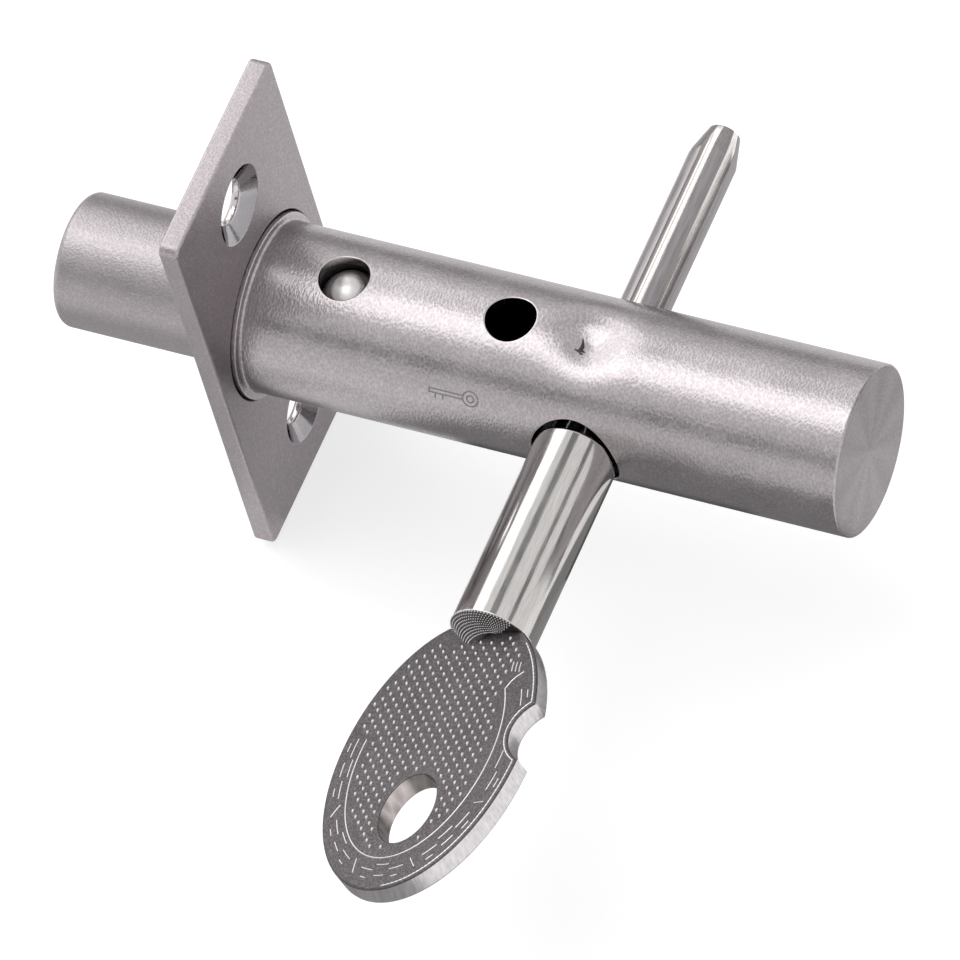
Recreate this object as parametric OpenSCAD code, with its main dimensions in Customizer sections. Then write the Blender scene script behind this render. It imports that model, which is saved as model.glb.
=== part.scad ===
// Concealed rack door lock shown with its bolt thrown and its key in the tube.
// The key's ribbed bit is a pinion under which the bolt's rack runs along the tube.
// Origin: centre of the faceplate's rear face, on the axis of the tube.
// +X runs along the tube to its closed end, -Y to the key's bow, +Z up the door.

/* [Faceplate] */
// Height of the faceplate along the door's edge, mm
plate_h = 53.2; // [44:0.1:70]
// Width of the faceplate across the door's edge, mm
plate_w = 24.8; // [23:0.1:30]
// Thickness of the faceplate, mm
plate_t = 2.2; // [1.5:0.1:3]
// Corner radius of the faceplate, mm
plate_corner_r = 1; // [1:0.25:5]
// Edge break round the faceplate, mm
plate_edge = 0.3; // [0.1:0.05:0.6]
// Distance between the two screw holes, mm
screw_spacing = 36; // [30:0.5:44]
// Diameter of a screw hole at its narrow land, mm
screw_d = 5; // [3.5:0.1:5.4]
// Diameter of a screw hole's cone at the rear face, mm
screw_cone_d = 8.5; // [6:0.1:9.5]
// Depth of a screw hole's cone, mm
screw_cone_h = 1.1; // [0.6:0.05:1.2]

/* [Tube] */
// Outside diameter of the tube, mm
tube_d = 18; // [16:0.5:20]
// Wall thickness of the tube, mm
tube_wall = 1.1; // [0.9:0.05:1.2]
// Length from the faceplate's rear face to the closed end, mm
tube_l = 66.2; // [65:0.1:80]
// Diameter of the flange that seats the tube in the faceplate, mm
flange_d = 19.8; // [19.2:0.1:21.4]
// Height of the flange above the faceplate's rear face, mm
flange_proud = 0.45; // [0.2:0.05:1]
// Diameter of the two detent holes, mm
detent_hole_d = 5.3; // [4.6:0.1:5.6]
// Distance from the faceplate to the first detent hole's centre, mm
detent_x = 9.8; // [8:0.1:11]
// Diameter of the hole drilled for the key's shank, mm
key_hole_d = 9.5; // [9.3:0.1:10]
// Diameter of the far hole that guides the key's bit, mm
bit_hole_d = 6; // [5.9:0.1:7]
// Depth of the stop dimple in the top of the tube, mm
dimple_depth = 1.2; // [0.8:0.05:1.4]
// Thickness of the end cap's disc, mm
cap_t = 1.6; // [1:0.1:3]
// Edge rounding of the end cap, mm
cap_round = 0.4; // [0.2:0.1:1.2]

/* [Bolt] */
// Diameter of the bolt's nose, mm
nose_d = 14.2; // [13:0.1:14.8]
// Travel of the bolt, mm
throw_l = 18.5; // [16:0.1:19]
// Height the nose stands proud of the faceplate when it is drawn in, mm
nose_proud = 1; // [0:0.1:1.5]
// Rounding of the nose's front edge, mm
nose_round = 0.9; // [0.4:0.1:1.5]
// Diameter of the detent ball, mm
ball_d = 6; // [5.8:0.1:6.2]
// Wire thickness of the detent spring, mm
spring_wire = 0.6; // [0.4:0.05:0.8]

/* [Key] */
// Distance from the faceplate to the key's axis, mm
key_x = 37.4; // [37.4:0.1:42]
// Number of ribs on the key's bit
ribs = 6; // [6:1:6]
// Radius at which the bit rolls along the rack, mm
pitch_r = 2.1; // [2.05:0.05:2.15]
// Diameter of the key's shank, mm
shank_d = 8.9; // [8:0.1:9]
// Distance from the tube's axis to the far end of the bow, mm
bow_reach = 63.1; // [58:0.05:90]
// Length of the bow that laps the shank's end, mm
bow_lap = 1.5; // [0.8:0.05:1.6]
// Gap between the shank's inner end and the bolt, mm
shank_gap = 0.35; // [0.25:0.05:3]
// Distance from the tube's axis to the tip of the bit, mm
bit_reach = 32.2; // [20:0.1:50]
// Turn of the bit's ribs about the key's axis, degrees
bit_turn = 27; // [0:0.5:60]
// Width of a rib on the free end of the bit, mm
rib_w = 1.5; // [1.3:0.05:1.8]
// Length of the bow along the key, mm
bow_l = 33.4; // [28:0.1:38]
// Width of the bow across the key, mm
bow_w = 21.6; // [20:0.1:30]
// Thickness of the bow, mm
bow_t = 2.5; // [2:0.1:4]
// Turn of the bow about the key's axis, degrees
bow_turn = 19; // [0:1:90]
// Width of the key ring hole, mm
ring_hole_w = 6.1; // [5:0.1:8]
// Length of the key ring hole, mm
ring_hole_l = 8.4; // [7:0.1:10]

/* [Hidden] */
$fn = 64;
eps = 0.02;
running = 0.05;
seat_gap = 0.02;
loose = 0.2;
tube_r = tube_d / 2;
bore_r = tube_r - tube_wall;
body_r = bore_r - running;
nose_r = nose_d / 2;
plate_web = 0.8;
flange_r = flange_d / 2;
flange_fillet = 0.45;
dimple_half = 4.3;
dimple_r = (dimple_half * dimple_half + dimple_depth * dimple_depth) / (2 * dimple_depth);
dimple_z = tube_r - dimple_depth + dimple_r;
dimple_inner_half = sqrt(pow(dimple_r + tube_wall, 2) - pow(dimple_z - bore_r, 2));
cap_spigot = 2.4;
nose_x = -plate_t - throw_l - nose_proud;
shoulder_x = 1;
full_end_x = key_x - throw_l - dimple_inner_half - loose;
rack_tail = 4.6;
rack_end_x = key_x + rack_tail;
lobe_r = 0.62;
lobe_axis_r = 2.02;
bit_r = lobe_axis_r + lobe_r;
bit_core_r = 1.5;
groove_r = 1.9;
rack_pitch = 2 * PI * pitch_r / ribs;
mesh_x = key_x - pitch_r * bit_turn * PI / 180;
tip_z = -1.6;
gap_mid_z = -pitch_r - 0.25;
root_z = -pitch_r - 0.66;
gap_top_half = 0.92;
gap_mid_half = 0.69;
gap_root_half = 0.36;
teeth_first = -9;
teeth_last = 1;
ball_r = ball_d / 2;
pocket_r = ball_r + running;
pocket_floor_z = -5;
ball_z = body_r - ball_r;
spring_r = 2.1;
spring_turns = 5;
spring_top_z = ball_z - sqrt(pow(ball_r, 2) - pow(spring_r, 2)) - spring_wire * 0.55;
shank_start = bow_reach - bow_l + bow_lap;
shank_end = body_r + shank_gap;
shank_edge = 0.4;
shank_bore_r = 2.6;
bit_root_inset = 4.5;
bit_root_y = bit_root_inset - shank_start;
bit_lead = 0.2;
bit_tip_l = 4.6;
bit_tip_r = 1.25;
bow_edge = 0.25;
bow_y = bow_l / 2 - bow_reach;
ring_hole_x = 0.45;
ring_hole_drop = 6.8;
ring_hole_y = bow_y - ring_hole_drop;
notch_r = 3.9;
notch_out = 1.5;
notch_rise = 3.5;
notch_y = bow_y + notch_rise;
neck_l = 0.9;
neck_taper = 2.2;
steel = [0.62, 0.6, 0.59];
nickel = [0.78, 0.77, 0.76];
cast_grey = [0.47, 0.45, 0.45];
plate_grey = [0.56, 0.54, 0.54];

// Stands a shape drawn along z along the tube, from x = 0.
module along_x() {
    rotate([0, 90, 0])
        children();
}

// Stands a shape drawn along z along the key, towards the bit's tip.
module along_y() {
    rotate([-90, 0, 0])
        children();
}

// Disc with both rims broken, one of the faceplate's corners.
module plate_corner() {
    rotate_extrude($fn = 32)
        polygon([
            [0, 0],
            [plate_corner_r - plate_edge, 0],
            [plate_corner_r, plate_edge],
            [plate_corner_r, plate_t - plate_edge],
            [plate_corner_r - plate_edge, plate_t],
            [0, plate_t]
        ]);
}

// Screw hole: a land at the front and a cone that opens at the rear face.
module screw_hole() {
    translate([0, 0, -eps])
        cylinder(d = screw_d, h = plate_t + 2 * eps, $fn = 48);
    translate([0, 0, plate_t - screw_cone_h])
        cylinder(d1 = screw_d, d2 = screw_cone_d, h = screw_cone_h + eps / 4, $fn = 48);
    translate([0, 0, -eps])
        cylinder(d1 = screw_d + 0.8, d2 = screw_d, h = 0.4 + eps, $fn = 48);
}

module faceplate() {
    color(plate_grey)
        translate([-plate_t, 0, 0])
            along_x()
                difference() {
                    hull()
                        for (sx = [-1, 1])
                            for (sy = [-1, 1])
                                translate([
                                    sx * (plate_h / 2 - plate_corner_r),
                                    sy * (plate_w / 2 - plate_corner_r),
                                    0
                                ])
                                    plate_corner();
                    translate([0, 0, -eps])
                        cylinder(r = nose_r + running, h = plate_t);
                    translate([0, 0, plate_web])
                        cylinder(r = flange_r + 0.1, h = plate_t);
                    for (sx = [-1, 1])
                        translate([sx * screw_spacing / 2, 0, 0])
                            screw_hole();
                }
}

// Tube with its flange, turned about the axis; z is measured from the flange's seat.
module tube_blank() {
    seat = plate_t - plate_web;
    end_z = seat + tube_l - cap_t;
    rim_z = seat + flange_proud;
    rotate_extrude()
        polygon([
            [bore_r, 0],
            [flange_r, 0],
            [flange_r, rim_z - 0.12],
            [flange_r - 0.12, rim_z],
            [tube_r + flange_fillet * 0.6, rim_z],
            [tube_r + flange_fillet * 0.3, rim_z + flange_fillet * 0.3],
            [tube_r + flange_fillet * 0.08, rim_z + flange_fillet * 0.7],
            [tube_r, rim_z + flange_fillet * 1.2],
            [tube_r, end_z],
            [bore_r, end_z]
        ]);
}

module housing_tube() {
    color(steel)
        difference() {
            union() {
                translate([plate_web - plate_t, 0, 0])
                    along_x()
                        tube_blank();
                intersection() {
                    translate([key_x, 0, dimple_z])
                        sphere(r = dimple_r + tube_wall, $fn = 72);
                    translate([key_x - dimple_inner_half - 1, 0, 0])
                        along_x()
                            cylinder(r = tube_r - 0.3, h = 2 * dimple_inner_half + 2);
                }
            }
            translate([key_x, 0, dimple_z])
                sphere(r = dimple_r, $fn = 72);
            for (dx = [0, throw_l])
                translate([detent_x + dx, 0, 0])
                    cylinder(d = detent_hole_d, h = tube_d, $fn = 48);
            translate([key_x, 0, 0])
                rotate([90, 0, 0])
                    cylinder(d = key_hole_d, h = tube_d, $fn = 48);
            translate([key_x, 0, 0])
                along_y()
                    cylinder(d = bit_hole_d, h = tube_d, $fn = 48);
        }
}

module end_cap() {
    spigot_z = -cap_spigot;
    color(steel)
        translate([tube_l - cap_t, 0, 0])
            along_x()
                rotate_extrude()
                    union() {
                        polygon([
                            [0, spigot_z],
                            [bore_r - seat_gap - 0.3, spigot_z],
                            [bore_r - seat_gap, spigot_z + 0.3],
                            [bore_r - seat_gap, 0],
                            [tube_r, 0],
                            [tube_r, cap_t - cap_round],
                            [tube_r - cap_round * 0.3, cap_t - cap_round * 0.3],
                            [tube_r - cap_round, cap_t],
                            [0, cap_t]
                        ]);
                    }
}

// Nose and body of the bolt turned in one piece; z is measured from the nose's face.
module bolt_blank() {
    body_z = shoulder_x - nose_x;
    end_z = rack_end_x - nose_x;
    rotate_extrude()
        polygon([
            [0, 0],
            [nose_r - nose_round, 0],
            [nose_r - nose_round * 0.62, nose_round * 0.08],
            [nose_r - nose_round * 0.29, nose_round * 0.29],
            [nose_r - nose_round * 0.08, nose_round * 0.62],
            [nose_r, nose_round],
            [nose_r, body_z],
            [body_r - 0.3, body_z],
            [body_r, body_z + 0.3],
            [body_r, end_z - 0.4],
            [body_r - 0.4, end_z],
            [0, end_z]
        ]);
}

// Gap between two rack teeth, drawn in the x-z plane about its own middle.
module rack_gap() {
    rotate([90, 0, 0])
        linear_extrude(height = tube_d, center = true)
            polygon([
                [-gap_top_half, tip_z + 0.3],
                [-gap_top_half, tip_z],
                [-gap_mid_half, gap_mid_z],
                [-gap_root_half, root_z],
                [gap_root_half, root_z],
                [gap_mid_half, gap_mid_z],
                [gap_top_half, tip_z],
                [gap_top_half, tip_z + 0.3]
            ]);
}

module bolt() {
    cut_l = rack_end_x - full_end_x + 1;
    color(steel)
        difference() {
            translate([nose_x, 0, 0])
                along_x()
                    bolt_blank();
            translate([full_end_x, -tube_r, tip_z])
                cube([cut_l, tube_d, tube_d]);
            for (k = [teeth_first : teeth_last])
                translate([mesh_x + k * rack_pitch, 0, 0])
                    rack_gap();
            translate([detent_x, 0, pocket_floor_z])
                cylinder(r = pocket_r, h = tube_d, $fn = 48);
        }
}

module detent_ball() {
    color(nickel)
        translate([detent_x, 0, ball_z])
            sphere(r = ball_r, $fn = 48);
}

// Coil spring as a round wire swept along a helix from the pocket's floor to the ball.
module detent_spring() {
    steps = 16;
    sides = 8;
    coil_h = spring_top_z - pocket_floor_z - spring_wire - 2 * seat_gap;
    last = spring_turns * steps;
    points = [
        for (i = [0 : last])
            let (turn = 360 * i / steps, rise = coil_h * i / last)
                for (j = [0 : sides - 1])
                    let (
                        around = 360 * j / sides,
                        r = spring_r + spring_wire / 2 * cos(around)
                    )
                        [r * cos(turn), r * sin(turn), rise + spring_wire / 2 * sin(around)]
    ];
    walls = [
        for (i = [0 : last - 1])
            for (j = [0 : sides - 1])
                let (k = (j + 1) % sides)
                    [i * sides + j, i * sides + k, (i + 1) * sides + k, (i + 1) * sides + j]
    ];
    start = [for (j = [0 : sides - 1]) sides - 1 - j];
    end = [for (j = [0 : sides - 1]) last * sides + j];
    color(nickel)
        translate([detent_x, 0, pocket_floor_z + spring_wire / 2 + seat_gap])
            polyhedron(points = points, faces = concat(walls, [start, end]));
}

// Bow plate in its own plane, thickness along z and the key's axis along y.
module bow_plate() {
    difference() {
        translate([0, bow_y, -bow_t / 2])
            scale([bow_w / bow_l, 1, 1])
                rotate_extrude($fn = 96)
                    polygon([
                        [0, 0],
                        [bow_l / 2 - bow_edge, 0],
                        [bow_l / 2, bow_edge],
                        [bow_l / 2, bow_t - bow_edge],
                        [bow_l / 2 - bow_edge, bow_t],
                        [0, bow_t]
                    ]);
        translate([ring_hole_x, ring_hole_y, -bow_t])
            scale([ring_hole_w / ring_hole_l, 1, 1])
                cylinder(d = ring_hole_l, h = 2 * bow_t, $fn = 48);
        translate([bow_w / 2 + notch_out, notch_y, -bow_t])
            cylinder(r = notch_r, h = 2 * bow_t, $fn = 48);
    }
}

module key_bow() {
    neck_r = shank_d / 2;
    color(cast_grey)
        translate([key_x, 0, 0])
            difference() {
                union() {
                    rotate([0, -bow_turn, 0])
                        bow_plate();
                    translate([0, -shank_start - neck_l, 0])
                        along_y()
                            cylinder(r = neck_r, h = neck_l - seat_gap);
                    translate([0, -shank_start - neck_l - neck_taper, 0])
                        along_y()
                            cylinder(r1 = bow_t / 2, r2 = neck_r, h = neck_taper + eps);
                }
                translate([0, -shank_start - seat_gap, 0])
                    along_y()
                        cylinder(r = neck_r + loose, h = bow_l);
            }
}

module key_shank() {
    body_l = shank_start - shank_end;
    color(nickel)
        translate([key_x, -shank_start, 0])
            along_y()
                rotate_extrude()
                    polygon([
                        [shank_bore_r, 0],
                        [shank_d / 2, 0],
                        [shank_d / 2, body_l - shank_edge],
                        [shank_d / 2 - shank_edge, body_l],
                        [shank_bore_r, body_l]
                    ]);
}

// Turns a shape drawn along x to each rib of the bit.
module each_rib() {
    for (k = [0 : ribs - 1])
        rotate(90 + bit_turn + k * 360 / ribs)
            children();
}

// Section of the bit where its ribs are the pinion's teeth.
module pinion_section() {
    circle(r = bit_core_r, $fn = 36);
    each_rib() {
        translate([lobe_axis_r, 0])
            circle(r = lobe_r, $fn = 24);
        translate([lobe_axis_r / 2, 0])
            square([lobe_axis_r, lobe_r * 1.5], center = true);
    }
}

// Section of the bit's free end, with broad ribs between narrow grooves.
module spline_section() {
    circle(r = groove_r, $fn = 48);
    intersection() {
        circle(r = bit_r, $fn = 96);
        each_rib()
            translate([bit_r / 2, 0])
                square([bit_r + eps, rib_w], center = true);
    }
}

module key_bit() {
    pinion_y = bit_lead - shank_end;
    spline_y = body_r + shank_gap;
    spline_l = bit_reach - spline_y;
    color(nickel)
        translate([key_x, 0, 0]) {
            translate([0, bit_root_y, 0])
                along_y()
                    cylinder(r = shank_bore_r - seat_gap, h = pinion_y - bit_root_y + eps);
            translate([0, pinion_y, 0])
                along_y()
                    linear_extrude(height = spline_y - pinion_y + eps)
                        pinion_section();
            intersection() {
                translate([0, spline_y, 0])
                    along_y()
                        linear_extrude(height = spline_l)
                            spline_section();
                translate([0, spline_y, 0])
                    along_y()
                        rotate_extrude($fn = 48)
                            polygon([
                                [0, 0],
                                [bit_r + 0.1, 0],
                                [bit_r + 0.1, spline_l - bit_tip_l],
                                [bit_tip_r, spline_l],
                                [0, spline_l]
                            ]);
            }
        }
}

faceplate();
housing_tube();
end_cap();
bolt();
detent_ball();
detent_spring();
key_bow();
key_shank();
key_bit();
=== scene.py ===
"""Dresses a concealed door lock with its key: steel tube, faceplate, bolt and key.

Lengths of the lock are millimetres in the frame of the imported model: +X runs along the
tube to its closed end, -Y to the key's bow, +Z up the door's edge. The floor and the
lamps are in metres, and the camera's place is in millimetres.
"""

import logging
import math
from collections.abc import Callable
from dataclasses import dataclass
from enum import Enum

import bmesh
import bpy
import numpy as np
from mathutils import Matrix, Vector
from mathutils.geometry import tessellate_polygon

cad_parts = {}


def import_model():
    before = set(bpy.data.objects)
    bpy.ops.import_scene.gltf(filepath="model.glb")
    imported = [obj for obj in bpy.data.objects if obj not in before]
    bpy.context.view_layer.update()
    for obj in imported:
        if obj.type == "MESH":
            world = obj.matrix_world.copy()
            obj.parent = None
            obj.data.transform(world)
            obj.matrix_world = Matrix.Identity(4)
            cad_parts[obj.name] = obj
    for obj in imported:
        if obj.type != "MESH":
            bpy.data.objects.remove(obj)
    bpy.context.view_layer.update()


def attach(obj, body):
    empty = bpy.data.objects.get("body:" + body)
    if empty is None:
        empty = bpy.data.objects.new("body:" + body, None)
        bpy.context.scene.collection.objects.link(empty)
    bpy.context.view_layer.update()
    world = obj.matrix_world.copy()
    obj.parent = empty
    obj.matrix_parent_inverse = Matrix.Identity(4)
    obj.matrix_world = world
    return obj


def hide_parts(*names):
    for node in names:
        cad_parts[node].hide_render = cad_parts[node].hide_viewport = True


MM = 0.001
LOG = logging.getLogger("lock")
WHITE = (1.0, 1.0, 1.0, 1.0)
BLACK = (0.0, 0.0, 0.0, 1.0)

# Metres: points closer than the first are one point, edges below the second go.
WELD_DISTANCE = 2e-6
SLIVER_LENGTH = 1e-7
# Degrees: an outward bend is rubbed from the first on, and fully the second further on.
RUB_FROM = 8.0
RUB_SPAN = 20.0
# A ridge's section: its angles, and the height of its last point, below the surface.
RIDGE_ANGLES = (0, 45, 90, 135, 180, 270)
RIDGE_ROOT = -0.06
# Shares of fine noise and of cells in the grain's height, and how steep a pit's edge is.
NOISE_SHARE, CELL_SHARE = 0.4, 0.6
PIT_STEEPNESS = 4.0
# Painted sheen of a turned face: one broad band and narrow wedges of painted highlight, with where
# they start (radians).
BROAD_TURN, BROAD_PAINTED_SHEEN = 2.36, 0.35
WEDGES, WEDGE_TURN, WEDGE_PAINTED_SHEEN = 9.0, 1.7, 0.15
# How far each mask shades a metal's colour, lifts its bump and changes its roughness.
MOTTLE_SHADE, STREAK_SHADE, PIT_SHADE, RUB_SHADE, RING_SHADE = 2.0, 5.0, -0.35, 0.35, 0.6
PIT_LIFT, RING_LIFT = -0.6, 0.5
MOTTLE_ROUGHNESS, RUB_ROUGHNESS = 0.2, -0.1
# Metres: height of a bump of 1.
BUMP_HEIGHT = 0.00003
# Rows of narrow faces along the edge of a flat, in multiples of its brim.
BRIM_STEPS = np.array([0.0, 1.0, 2.0, 4.0])

Points = np.ndarray
Section = np.ndarray
Finishes = list[bpy.types.Material]
Surface = Callable[[Points, Points], Points]


# ---------------------------------------------------------------- surfaces


def column(rows: bpy.types.bpy_prop_collection, name: str, kind: type, width: int = 1) -> Points:
    """Reads one property of all rows of a mesh.

    Args:
        rows: The mesh's loops, edges, polygons or vertices.
        name: Name of the property.
        kind: Type of its numbers.
        width: Numbers in each row.

    Returns:
        The numbers, in rows if there are several in each.
    """
    values = np.zeros(len(rows) * width, kind)
    rows.foreach_get(name, values)
    return values.reshape(-1, width) if width > 1 else values


def cells_round(rows: int, columns: int) -> np.ndarray:
    """Cells of a grid whose last column joins its first.

    Args:
        rows: Rows of points.
        columns: Columns of points.

    Returns:
        A point's number, its neighbour's and the two below, for each cell.
    """
    index = np.arange(rows * columns).reshape(rows, columns)
    index = np.concatenate([index, index[:, :1]], axis=1)
    return np.stack([index[:-1, :-1], index[:-1, 1:], index[1:, 1:], index[1:, :-1]], axis=-1)


class Shell:
    """Grids and flats of points, in millimetres, that are joined into one closed mesh."""

    def __init__(self) -> None:
        """Starts with nothing in it."""
        self.points: list[Points] = []
        self.faces: list[np.ndarray] = []
        self.slots: list[np.ndarray] = []
        self.count = 0

    def add(self, points: Points, faces: np.ndarray, slot: int = 0) -> None:
        """Adds points and the faces between them.

        Args:
            points: Points of the new part.
            faces: Point numbers of each face, counted from 0 in these points.
            slot: Number of the finish that the faces take.
        """
        self.points.append(points.reshape(-1, 3))
        self.faces.append(faces + self.count)
        self.slots.append(np.full(len(faces), slot))
        self.count += len(self.points[-1])

    def grid(self, points: Points, slot: int = 0, keep: np.ndarray | None = None) -> None:
        """Adds a grid that is closed round its columns.

        Args:
            points: Rows by columns by 3.
            slot: Number of the finish.
            keep: True for each cell that is kept.
        """
        cells = cells_round(*points.shape[:2])
        self.add(points, (cells if keep is None else cells[keep]).reshape(-1, 4), slot)

    def pole(self, ring: Points, centre: Points | list[float], slot: int = 0) -> None:
        """Closes a ring with triangles that run to one point.

        Args:
            ring: Points round the edge.
            centre: The point in the middle.
            slot: Number of the finish.
        """
        count = len(ring)
        near = np.arange(count)
        faces = np.stack([near, np.roll(near, -1), np.full(count, count)], axis=-1)
        self.add(np.vstack([ring, centre]), faces, slot)

    def flat(self, loops: list[Points]) -> None:
        """Fills a flat face between its outline and the outlines of its holes.

        Args:
            loops: The outline first, then the holes.
        """
        outlines = [list(map(Vector, loop.tolist())) for loop in loops]
        self.add(np.concatenate(loops), np.array(tessellate_polygon(outlines)))

    def stamp(self, stencil: Points, places: Points) -> None:
        """Adds a small closed grid at each place.

        Args:
            stencil: Rows by columns by 3.
            places: One row of x, y, z for each copy.
        """
        rows, columns = stencil.shape[:2]
        cells = cells_round(rows, columns).reshape(-1, 4)
        points = stencil.reshape(1, -1, 3) + places[:, None, :]
        starts = np.arange(len(places)) * rows * columns
        self.add(points, (cells + starts[:, None, None]).reshape(-1, 4))

    def build(
        self, name: str, finishes: Finishes, sharp: float = 40.0, weighted: bool = True
    ) -> bpy.types.Object:
        """Joins the parts at their shared points and makes the object.

        Args:
            name: Name of the piece.
            finishes: Materials, in the order of their slot numbers.
            sharp: Angle in degrees above which an edge is creased.
            weighted: Whether large faces set the normals at their edges.

        Returns:
            The new object, at the origin.
        """
        corners = [face for part in self.faces for face in part.tolist()]
        mesh = bpy.data.meshes.new(name)
        mesh.from_pydata((np.concatenate(self.points) * MM).tolist(), [], corners)
        mesh.polygons.foreach_set("material_index", np.concatenate(self.slots).astype(np.int32))
        work = bmesh.new()
        work.from_mesh(mesh)
        bmesh.ops.remove_doubles(work, verts=work.verts, dist=WELD_DISTANCE)
        bmesh.ops.dissolve_degenerate(work, edges=work.edges, dist=SLIVER_LENGTH)
        bmesh.ops.recalc_face_normals(work, faces=work.faces)
        work.to_mesh(mesh)
        work.free()
        rub_edges(mesh)
        mesh.shade_smooth()
        mesh.set_sharp_from_angle(angle=math.radians(sharp))
        for finish in finishes:
            mesh.materials.append(finish)
        piece = bpy.data.objects.new(name, mesh)
        bpy.context.scene.collection.objects.link(piece)
        if weighted:
            piece.modifiers.new("flats_first", "WEIGHTED_NORMAL").keep_sharp = True
        uses = np.bincount(column(mesh.loops, "edge_index", np.int32), minlength=len(mesh.edges))
        LOG.info("%s: %d faces, %d open edges", name, len(mesh.polygons), (uses != 2).sum())
        return piece


def rub_edges(mesh: bpy.types.Mesh) -> None:
    """Stores on each vertex how sharply its edges bend outward, from 0 to 1.

    Args:
        mesh: The mesh that gets the attribute "rubbed".
    """
    corner = column(mesh.loops, "edge_index", np.int32)
    total = column(mesh.polygons, "loop_total", np.int32)
    normal = column(mesh.polygons, "normal", np.float32, 3)
    centre = column(mesh.polygons, "center", np.float32, 3)
    order = np.argsort(corner, kind="stable")
    face = np.repeat(np.arange(len(total)), total)[order]
    first = np.searchsorted(corner[order], np.arange(len(mesh.edges)))
    one, two = face[first], face[np.minimum(first + 1, len(face) - 1)]
    bend = np.degrees(np.arccos(np.clip((normal[one] * normal[two]).sum(axis=1), -1.0, 1.0)))
    outward = ((centre[two] - centre[one]) * normal[one]).sum(axis=1) < 0
    share = np.clip((bend - RUB_FROM) / RUB_SPAN, 0.0, 1.0) * outward
    rubbed = np.zeros(len(mesh.vertices), np.float32)
    np.maximum.at(rubbed, column(mesh.edges, "vertices", np.int32, 2).ravel(), np.repeat(share, 2))
    mesh.attributes.new("rubbed", "FLOAT", "POINT").data.foreach_set("value", rubbed)


def full_turn(count: int) -> np.ndarray:
    """Evenly spaced angles of one whole turn.

    Args:
        count: Number of angles.

    Returns:
        The angles, radians.
    """
    return 2 * np.pi * np.arange(count) / count


def arc(
    centre: tuple[float, float], radius: float, start: float, end: float, steps: int
) -> Section:
    """Points on a circle's arc: the centre plus the radius at evenly spaced angles.

    Args:
        centre: Centre of the arc.
        radius: Its radius.
        start: First angle, degrees.
        end: Last angle, degrees.
        steps: Number of gaps between points.

    Returns:
        steps + 1 points.
    """
    turn = np.radians(np.linspace(start, end, steps + 1))
    return np.stack([centre[0] + radius * np.cos(turn), centre[1] + radius * np.sin(turn)], -1)


def about_x(x: Points, angle: Points, radius: Points | float) -> Points:
    """Points round the tube's axis: the radius carried from +Z towards -Y by the angle.

    Args:
        x: Distances along the tube.
        angle: Angles from the top, radians.
        radius: Distances from the axis.

    Returns:
        The points, in the shape of x by 3.
    """
    return np.stack([x, -radius * np.sin(angle), radius * np.cos(angle)], axis=-1)


def turned(profile: Section, columns: int) -> Points:
    """Surface of revolution: each profile point is carried round the tube's axis.

    Args:
        profile: Distance along the axis and radius, one row each.
        columns: Number of points round the axis.

    Returns:
        Rows by columns by 3.
    """
    along = np.repeat(profile[:, :1], columns, axis=1)
    return about_x(along, full_turn(columns), profile[:, 1:])


def ridge(
    shell: Shell, path: Section, wide: float | np.ndarray, tall: float | np.ndarray,
    place: Callable[[Points], Points],
) -> None:
    """A half-round ridge: an arc of the given half width and height carried along a path.

    Args:
        shell: The shell that gets it.
        path: Points of u and v on the surface.
        wide: Half the ridge's width, or one for each point.
        tall: Its height, or one for each point.
        place: Turns u, v and height off the surface into the frame.
    """
    along = np.gradient(path, axis=0)
    along /= np.linalg.norm(along, axis=1)[:, None]
    across = np.stack([-along[:, 1], along[:, 0]], axis=-1)
    turn = np.radians(np.array(RIDGE_ANGLES))
    count = (len(path), 1)
    reach = np.broadcast_to(np.reshape(wide, (-1, 1)), count) * np.cos(turn)
    lift = np.broadcast_to(np.reshape(tall, (-1, 1)), count) * np.sin(turn)
    lift[:, -1] = RIDGE_ROOT
    flat = path[:, None] + across[:, None] * reach[..., None]
    points = place(np.concatenate([flat, lift[..., None]], axis=-1))
    shell.grid(points)
    for end in (0, -1):
        shell.pole(points[end], points[end].mean(axis=0))


# ---------------------------------------------------------------- finishes


class Nodes:
    """Adds nodes to a tree and feeds their inputs."""

    def __init__(self, tree: bpy.types.NodeTree) -> None:
        """Takes the tree.

        Args:
            tree: The tree of a material, a world or a group.
        """
        self.tree = tree

    def feed(self, node: bpy.types.Node, inputs: dict[str | int, object]) -> None:
        """Links or sets inputs.

        Args:
            node: The node whose inputs they are.
            inputs: A socket or a constant for each input's name or number.
        """
        for name, value in inputs.items():
            if isinstance(value, bpy.types.NodeSocket):
                self.tree.links.new(value, node.inputs[name])
            else:
                node.inputs[name].default_value = value

    def add(
        self, kind: str, inputs: dict[str | int, object] | None = None, **settings: object
    ) -> bpy.types.Node:
        """Adds a node.

        Args:
            kind: Its type, without the leading "ShaderNode".
            inputs: As for feed().
            settings: The node's own properties, set before its inputs.

        Returns:
            The node.
        """
        made = self.tree.nodes.new(f"ShaderNode{kind}")
        for name, value in settings.items():
            setattr(made, name, value)
        self.feed(made, inputs or {})
        return made

    def math(self, operation: str, *values: object) -> bpy.types.NodeSocket:
        """Adds a Math node.

        Args:
            operation: Name of the operation, such as "MULTIPLY".
            values: A socket or a number for each input.

        Returns:
            The node's output.
        """
        return self.add("Math", dict(enumerate(values)), operation=operation).outputs[0]

    def place(self) -> bpy.types.NodeSocket:
        """Adds Object coordinates, and returns their socket."""
        return self.add("TexCoord").outputs["Object"]


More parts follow.
